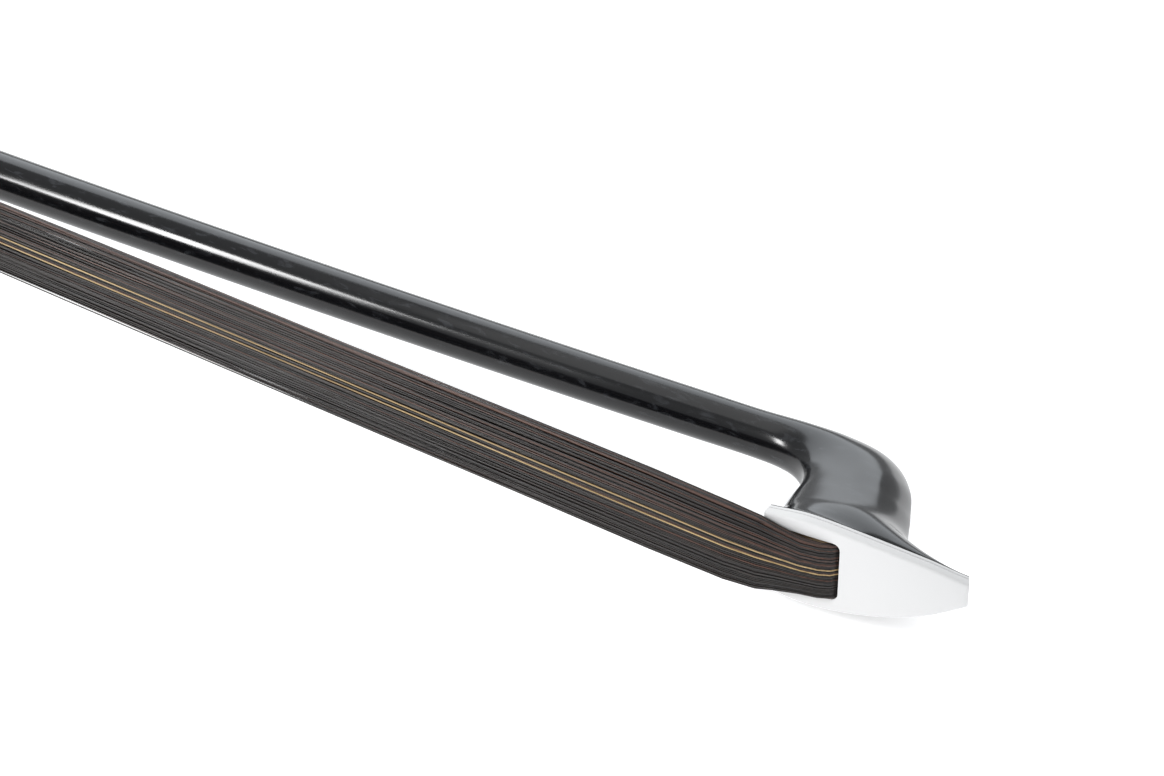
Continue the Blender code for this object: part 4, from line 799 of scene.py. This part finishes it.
def hair_path():
    """The ribbon's stations from the tip's knot to the frog's: (middle, depth direction, depth, width)."""
    stations = [
        (Vector((x, y, 0.0)), Vector((*tilt, 0.0)).normalized(), depth, width)
        for x, y, tilt, depth, width in HAIR_TIP_STATIONS
    ]
    start, upright = stations[-1][:2]
    frog_middle = handle_point(0.0, -FROG_REACH + HAIR_BACK)
    places = [k * HAIR_NEAR_STEP for k in range(1, HAIR_NEAR_COUNT + 1)]
    places += [HAIR_FAR_START + k * HAIR_FAR_STEP for k in range(1, HAIR_FAR_COUNT + 1)]
    for place in places:
        share = place / (start.x - frog_middle.x)
        depth = mix(HAIR_DEPTH, HAIR_DEPTH_AT_FROG, smooth(share * HAIR_THINNING))
        width = mix(HAIR_WIDTH, HAIR_WIDTH_AT_FROG, share)
        stations.append((start.lerp(frog_middle, share), upright, depth, width))
    turned = (V_AXIS + U_AXIS).normalized()
    for middle, direction, width in (
        (frog_middle, V_AXIS, HAIR_WIDTH_AT_FROG),
        (handle_point(-0.0042, -FROG_REACH + HAIR_BACK), V_AXIS, HAIR_WIDTH_AT_FROG),
        (handle_point(-0.0087, HAIR_CHANNEL), V_AXIS, HAIR_WIDTH_IN_FERRULE),
        (handle_point(-0.0130, HAIR_CHANNEL), V_AXIS, HAIR_WIDTH_IN_FROG),
        (handle_point(-0.0196, HAIR_CHANNEL), V_AXIS, HAIR_WIDTH_IN_FROG),
        (handle_point(HAIR_KNOT_U, -0.0214), turned, HAIR_WIDTH_IN_FROG),
        (handle_point(HAIR_KNOT_U, -0.0178), U_AXIS, HAIR_WIDTH_IN_FROG),
    ):
        stations.append((middle, direction, HAIR_DEPTH_AT_FROG, width))
    return stations


def hair_tone(layer, column, pick):
    """Which finish a hair has, by its place in the ribbon and a random pick."""
    if column in HAIR_EDGE_COLUMNS and pick > HAIR_EDGE_PALE_FROM:
        return PALE
    if layer == 0 and column in HAIR_GOLD_COLUMNS:
        return GOLD
    if pick > HAIR_PALE_FROM:
        return PALE
    if pick > HAIR_BROWN_FROM:
        return BROWN
    return DARK


def hair_strays(x, phases, drift):
    """How far a hair lies from its place at x, across the ribbon and in its depth."""
    along = (HANDLE_ORIGIN.x - x) / HANDLE_ORIGIN.x
    free = 0.0
    if HAIR_FREE_REAR < x < HAIR_FREE_FRONT:
        free = math.sin(math.pi * min(max(along, 0.0), 1.0))
    ease = min(free * HAIR_EASE, 1.0)
    sway = HAIR_SWAY * math.sin(x * HAIR_SWAY_WAVE + phases[0])
    sway += HAIR_SLOW_SWAY * math.sin(x * HAIR_SLOW_WAVE + phases[1])
    sway += drift * HAIR_DRIFT_REACH * math.sin(x * HAIR_DRIFT_WAVE + phases[3])
    lift = HAIR_LIFT * math.sin(x * HAIR_LIFT_WAVE + phases[2])
    return sway * ease, lift * ease


def make_hair(finishes):
    """The ribbon: one thin tube for each hair, from knot to knot, a little uneven as real hair is."""
    stations = hair_path()
    chance = random.Random(7)
    verts = []
    faces = []
    tones = []
    for layer in range(HAIR_LAYERS):
        for column in range(HAIR_COLUMNS):
            deep = (layer + 0.5) / HAIR_LAYERS - 0.5 + chance.uniform(-HAIR_DEPTH_JITTER, HAIR_DEPTH_JITTER)
            wide = (column + 0.5) / HAIR_COLUMNS - 0.5 + chance.uniform(-HAIR_WIDTH_JITTER, HAIR_WIDTH_JITTER)
            if layer in (0, HAIR_LAYERS - 1):
                wide *= HAIR_OUTER_SQUEEZE
            phases = [chance.uniform(0.0, math.tau) for _ in range(4)]
            strays = chance.random() < HAIR_STRAY_SHARE
            most_drift = HAIR_STRAY_DRIFT if strays else HAIR_DRIFT
            drift = chance.uniform(-most_drift, most_drift)
            radius = HAIR_RADIUS * chance.uniform(HAIR_THINNEST, 1.0)
            tone = hair_tone(layer, column, chance.random())
            base = len(verts)
            for middle, upright, depth, width in stations:
                sway, lift = hair_strays(middle.x, phases, drift)
                edge = width / 2 - HAIR_RADIUS
                z = min(max(width * wide + sway, -edge), edge)
                centre = middle + upright * (depth * deep + lift) + ACROSS * z + BOW
                for k in range(HAIR_SIDES):
                    turn = math.tau * k / HAIR_SIDES
                    around = upright * radius * math.cos(turn)
                    verts.append(centre + around + ACROSS * radius * math.sin(turn))
            count = len(stations)
            for ring in range(count - 1):
                low = base + ring * HAIR_SIDES
                for k in range(HAIR_SIDES):
                    after = (k + 1) % HAIR_SIDES
                    faces.append((low + k, low + after, low + HAIR_SIDES + after, low + HAIR_SIDES + k))
                    tones.append(tone)
            faces.append(tuple(base + k for k in range(HAIR_SIDES - 1, -1, -1)))
            faces.append(tuple(base + (count - 1) * HAIR_SIDES + k for k in range(HAIR_SIDES)))
            tones += [tone, tone]
    mesh = bpy.data.meshes.new("fine_hair")
    mesh.from_pydata([tuple(vert) for vert in verts], [], faces)
    for finish in finishes:
        mesh.materials.append(finish)
    mesh.polygons.foreach_set("material_index", tones)
    mesh.shade_smooth()
    mesh.update()
    hair = add_object("fine_hair", mesh)
    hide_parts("hair")
    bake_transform(hair)


def make_leather(material):
    """The thumb leather: a closed sleeve with rounded rims, thinned towards the winding."""
    u0 = LEATHER_START
    u1 = u0 + LEATHER_LENGTH
    outer = [(u0 + reach, thickness) for reach, thickness in LEATHER_RIM_PROFILE]
    outer.append((u0 + LEATHER_RIM, LEATHER_THICKNESS))
    for k in range(1, LEATHER_STEPS + 1):
        u = mix(u0 + LEATHER_RIM, u1 - LEATHER_THIN_LENGTH, k / LEATHER_STEPS)
        outer.append((u, LEATHER_THICKNESS))
    for k in range(1, LEATHER_THIN_STEPS + 1):
        thickness = mix(LEATHER_THICKNESS, LEATHER_THIN_THICKNESS, smooth(k / LEATHER_THIN_STEPS))
        outer.append((u1 - LEATHER_THIN_LENGTH + LEATHER_THIN_REACH * k / LEATHER_THIN_STEPS, thickness))
    outer.append((u1, LEATHER_EDGE_THICKNESS))
    rings = [stick_ring(handle_x(u), SEAT_GAP + thickness) for u, thickness in outer]
    rings += [stick_ring(handle_x(u), SEAT_GAP) for u in (u1, mix(u0, u1, 0.5), u0)]
    leather = loft("fine_leather", rings, closed=True)
    soften(leather.data, LEATHER_SHARP_ANGLE)
    leather.data.materials.append(material)
    finish_piece(leather, "stick", "leather", "thumb_leather")


def make_winding(material):
    """The grip's metal winding: one unbroken wire, its turns side by side."""
    x_start = handle_x(LEATHER_START + LEATHER_LENGTH + WINDING_AFTER_LEATHER)
    turns = int((WINDING_END_X - x_start) / WIRE_PITCH)
    verts = []
    faces = []
    radius = WIRE_DIAMETER / 2
    total = turns * WIRE_STEPS
    for step in range(total + 1):
        turn = math.tau * step / WIRE_STEPS
        x = x_start + WIRE_PITCH * step / WIRE_STEPS
        height, slope = stick_axis(x)
        along = Vector((1.0, slope, 0.0)).normalized()
        normal = Vector((-along.y, along.x, 0.0))
        outward = ACROSS * math.sin(turn) - normal * math.cos(turn)
        centre = Vector((x, height, 0.0)) + outward * (stick_radius(x) + WINDING_GAP + radius) + BOW
        for k in range(WIRE_SIDES):
            around = math.tau * k / WIRE_SIDES
            verts.append(centre + outward * radius * math.cos(around) + along * radius * math.sin(around))
    for step in range(total):
        low = step * WIRE_SIDES
        for k in range(WIRE_SIDES):
            after = (k + 1) % WIRE_SIDES
            faces.append((low + k, low + WIRE_SIDES + k, low + WIRE_SIDES + after, low + after))
    faces.append(tuple(range(WIRE_SIDES)))
    faces.append(tuple(total * WIRE_SIDES + k for k in range(WIRE_SIDES - 1, -1, -1)))
    mesh = bpy.data.meshes.new("fine_winding")
    mesh.from_pydata([tuple(vert) for vert in verts], [], faces)
    mesh.shade_smooth()
    mesh.materials.append(material)
    mesh.update()
    winding = add_object("fine_winding", mesh)
    finish_piece(winding, "stick", "silver", "grip_winding")


def make_pins(material):
    """Two small pin heads in the heel plate."""
    for number, v in enumerate(PIN_PLACES):
        rings = []
        for out, r in PIN_PROFILE:
            ring = []
            for k in range(PIN_SIDES):
                turn = math.tau * k / PIN_SIDES
                ring.append(handle_point(PIN_FACE - out, v - r * math.cos(turn), r * math.sin(turn)))
            rings.append(ring)
        pin = loft("heel_pin_%d" % (number + 1), rings, flat=True)
        soften(pin.data, PIN_SHARP_ANGLE)
        pin.data.materials.append(material)
        finish_piece(pin, "frog", "silver")


def dress(name, material, bevel=0.0):
    """Give a node of the model its finish, and round its edges a little."""
    piece = nodes[name]
    mesh = piece.data
    custom = mesh.attributes.get("custom_normal")
    if custom is not None:
        mesh.attributes.remove(custom)
    mesh.shade_smooth()
    for slot in piece.material_slots:
        slot.material = material
    weld = piece.modifiers.new("weld", "WELD")
    weld.merge_threshold = WELD_DISTANCE
    if bevel:
        edges = piece.modifiers.new("edges", "BEVEL")
        edges.width = bevel
        edges.segments = BEVEL_SEGMENTS
        edges.limit_method = "ANGLE"
        edges.angle_limit = math.radians(BEVEL_ANGLE)
        edges.use_clamp_overlap = True
    normals = piece.modifiers.new("normals", "WEIGHTED_NORMAL")
    normals.mode = "FACE_AREA_WITH_ANGLE"
    normals.keep_sharp = True


def area_light(name, place, target, width, height, power, colour=(1.0, 1.0, 1.0)):
    data = bpy.data.lights.new(name, "AREA")
    data.shape = "RECTANGLE"
    data.size = width
    data.size_y = height
    data.energy = power
    data.color = colour
    light = bpy.data.objects.new(name, data)
    light.location = place
    light.rotation_euler = (Vector(target) - Vector(place)).to_track_quat("-Z", "Y").to_euler()
    bpy.context.scene.collection.objects.link(light)


def make_floor():
    bm = bmesh.new()
    bmesh.ops.create_grid(bm, x_segments=1, y_segments=1, size=FLOOR_REACH)
    mesh = bpy.data.meshes.new("floor")
    bm.to_mesh(mesh)
    bm.free()
    floor = add_object("floor", mesh)
    floor.location.z = -FLOOR_DROP
    floor.data.materials.append(floor_finish())


def make_sky():
    world = bpy.data.worlds.new("studio")
    bpy.context.scene.world = world
    world.use_nodes = True
    sky = world.node_tree.nodes["Background"]
    sky.inputs["Color"].default_value = SKY_COLOUR
    sky.inputs["Strength"].default_value = SKY_STRENGTH


def make_lights():
    """A large softbox behind the bow, one above it, and a narrow key for the stick's highlight."""
    head = BOW + LIT_HEAD
    area_light("back_softbox", head + BACK_BOX_PLACE, head, *BACK_BOX_SIZE, BACK_BOX_POWER, BACK_BOX_COLOUR)
    area_light("top_softbox", head + TOP_BOX_PLACE, head, *TOP_BOX_SIZE, TOP_BOX_POWER)
    stick = BOW + LIT_STICK
    area_light("key", stick + KEY_PLACE, stick, *KEY_SIZE, KEY_POWER)


def make_camera():
    data = bpy.data.cameras.new("camera")
    data.lens = CAMERA_LENS
    data.sensor_width = CAMERA_SENSOR
    data.sensor_fit = "HORIZONTAL"
    data.clip_start, data.clip_end = CAMERA_CLIP
    camera = bpy.data.objects.new("camera", data)
    forward = CAMERA_FORWARD.normalized()
    right = forward.cross(CAMERA_UPWARD).normalized()
    up = right.cross(forward)
    facing = Matrix((right, up, -forward)).transposed().to_4x4()
    camera.matrix_world = Matrix.Translation(BOW + CAMERA_PLACE) @ facing
    bpy.context.scene.collection.objects.link(camera)
    bpy.context.scene.camera = camera


carbon = carbon_finish()
white = plate_finish()
black = liner_finish()
silver = metal_finish("nickel_silver", (0.66, 0.65, 0.62), (0.80, 0.79, 0.76), 0.16, 0.28, BRUSHED_ALONG)
brass = metal_finish("turned_brass", (0.60, 0.42, 0.17), (0.76, 0.56, 0.26), 0.22, 0.34, BRUSHED_ROUND)
steel = metal_finish("turned_steel", (0.44, 0.45, 0.46), (0.60, 0.61, 0.62), 0.22, 0.34, BRUSHED_ROUND)
ebony = ebony_finish()
pearl = pearl_finish()
leather = leather_finish()
thread = thread_finish()
wood = wood_finish()
hairs = [
    hair_finish("dark_hair", (0.004, 0.003, 0.0028), (0.020, 0.013, 0.010)),
    hair_finish("brown_hair", (0.030, 0.014, 0.010), (0.105, 0.048, 0.032)),
    hair_finish("gold_hair", (0.34, 0.22, 0.09), (0.66, 0.48, 0.24)),
    hair_finish("pale_hair", (0.26, 0.17, 0.13), (0.52, 0.38, 0.31)),
]

make_stick(carbon)
make_plate(white, black)
make_hair(hairs)
make_leather(leather)
make_winding(silver)
make_pins(silver)

for name, material, bevel in (
    ("frog", ebony, 0.00016),
    ("ferrule", silver, 0.00010),
    ("heel_plate", silver, 0.00008),
    ("underslide", silver, 0.0),
    ("slide_base", ebony, 0.00008),
    ("pearl_slide", pearl, 0.00010),
    ("eye_ring_left", silver, 0.0),
    ("eye_ring_right", silver, 0.0),
    ("eye_pearl_left", pearl, 0.0),
    ("eye_pearl_right", pearl, 0.0),
    ("eyelet", brass, 0.0),
    ("screw", steel, 0.0),
    ("button_ring_front", silver, 0.00008),
    ("button_core", ebony, 0.00008),
    ("button_ring_rear", silver, 0.00008),
    ("button_pearl", pearl, 0.0),
    ("tip_plug", wood, 0.0),
    ("frog_plug", wood, 0.0),
    ("spread_wedge", wood, 0.0),
    ("tip_hair_knot", thread, 0.0),
    ("frog_hair_knot", thread, 0.0),
):
    dress(name, material, bevel)

make_floor()
make_sky()
make_lights()
make_camera()
bpy.context.scene.view_settings.view_transform = "Standard"
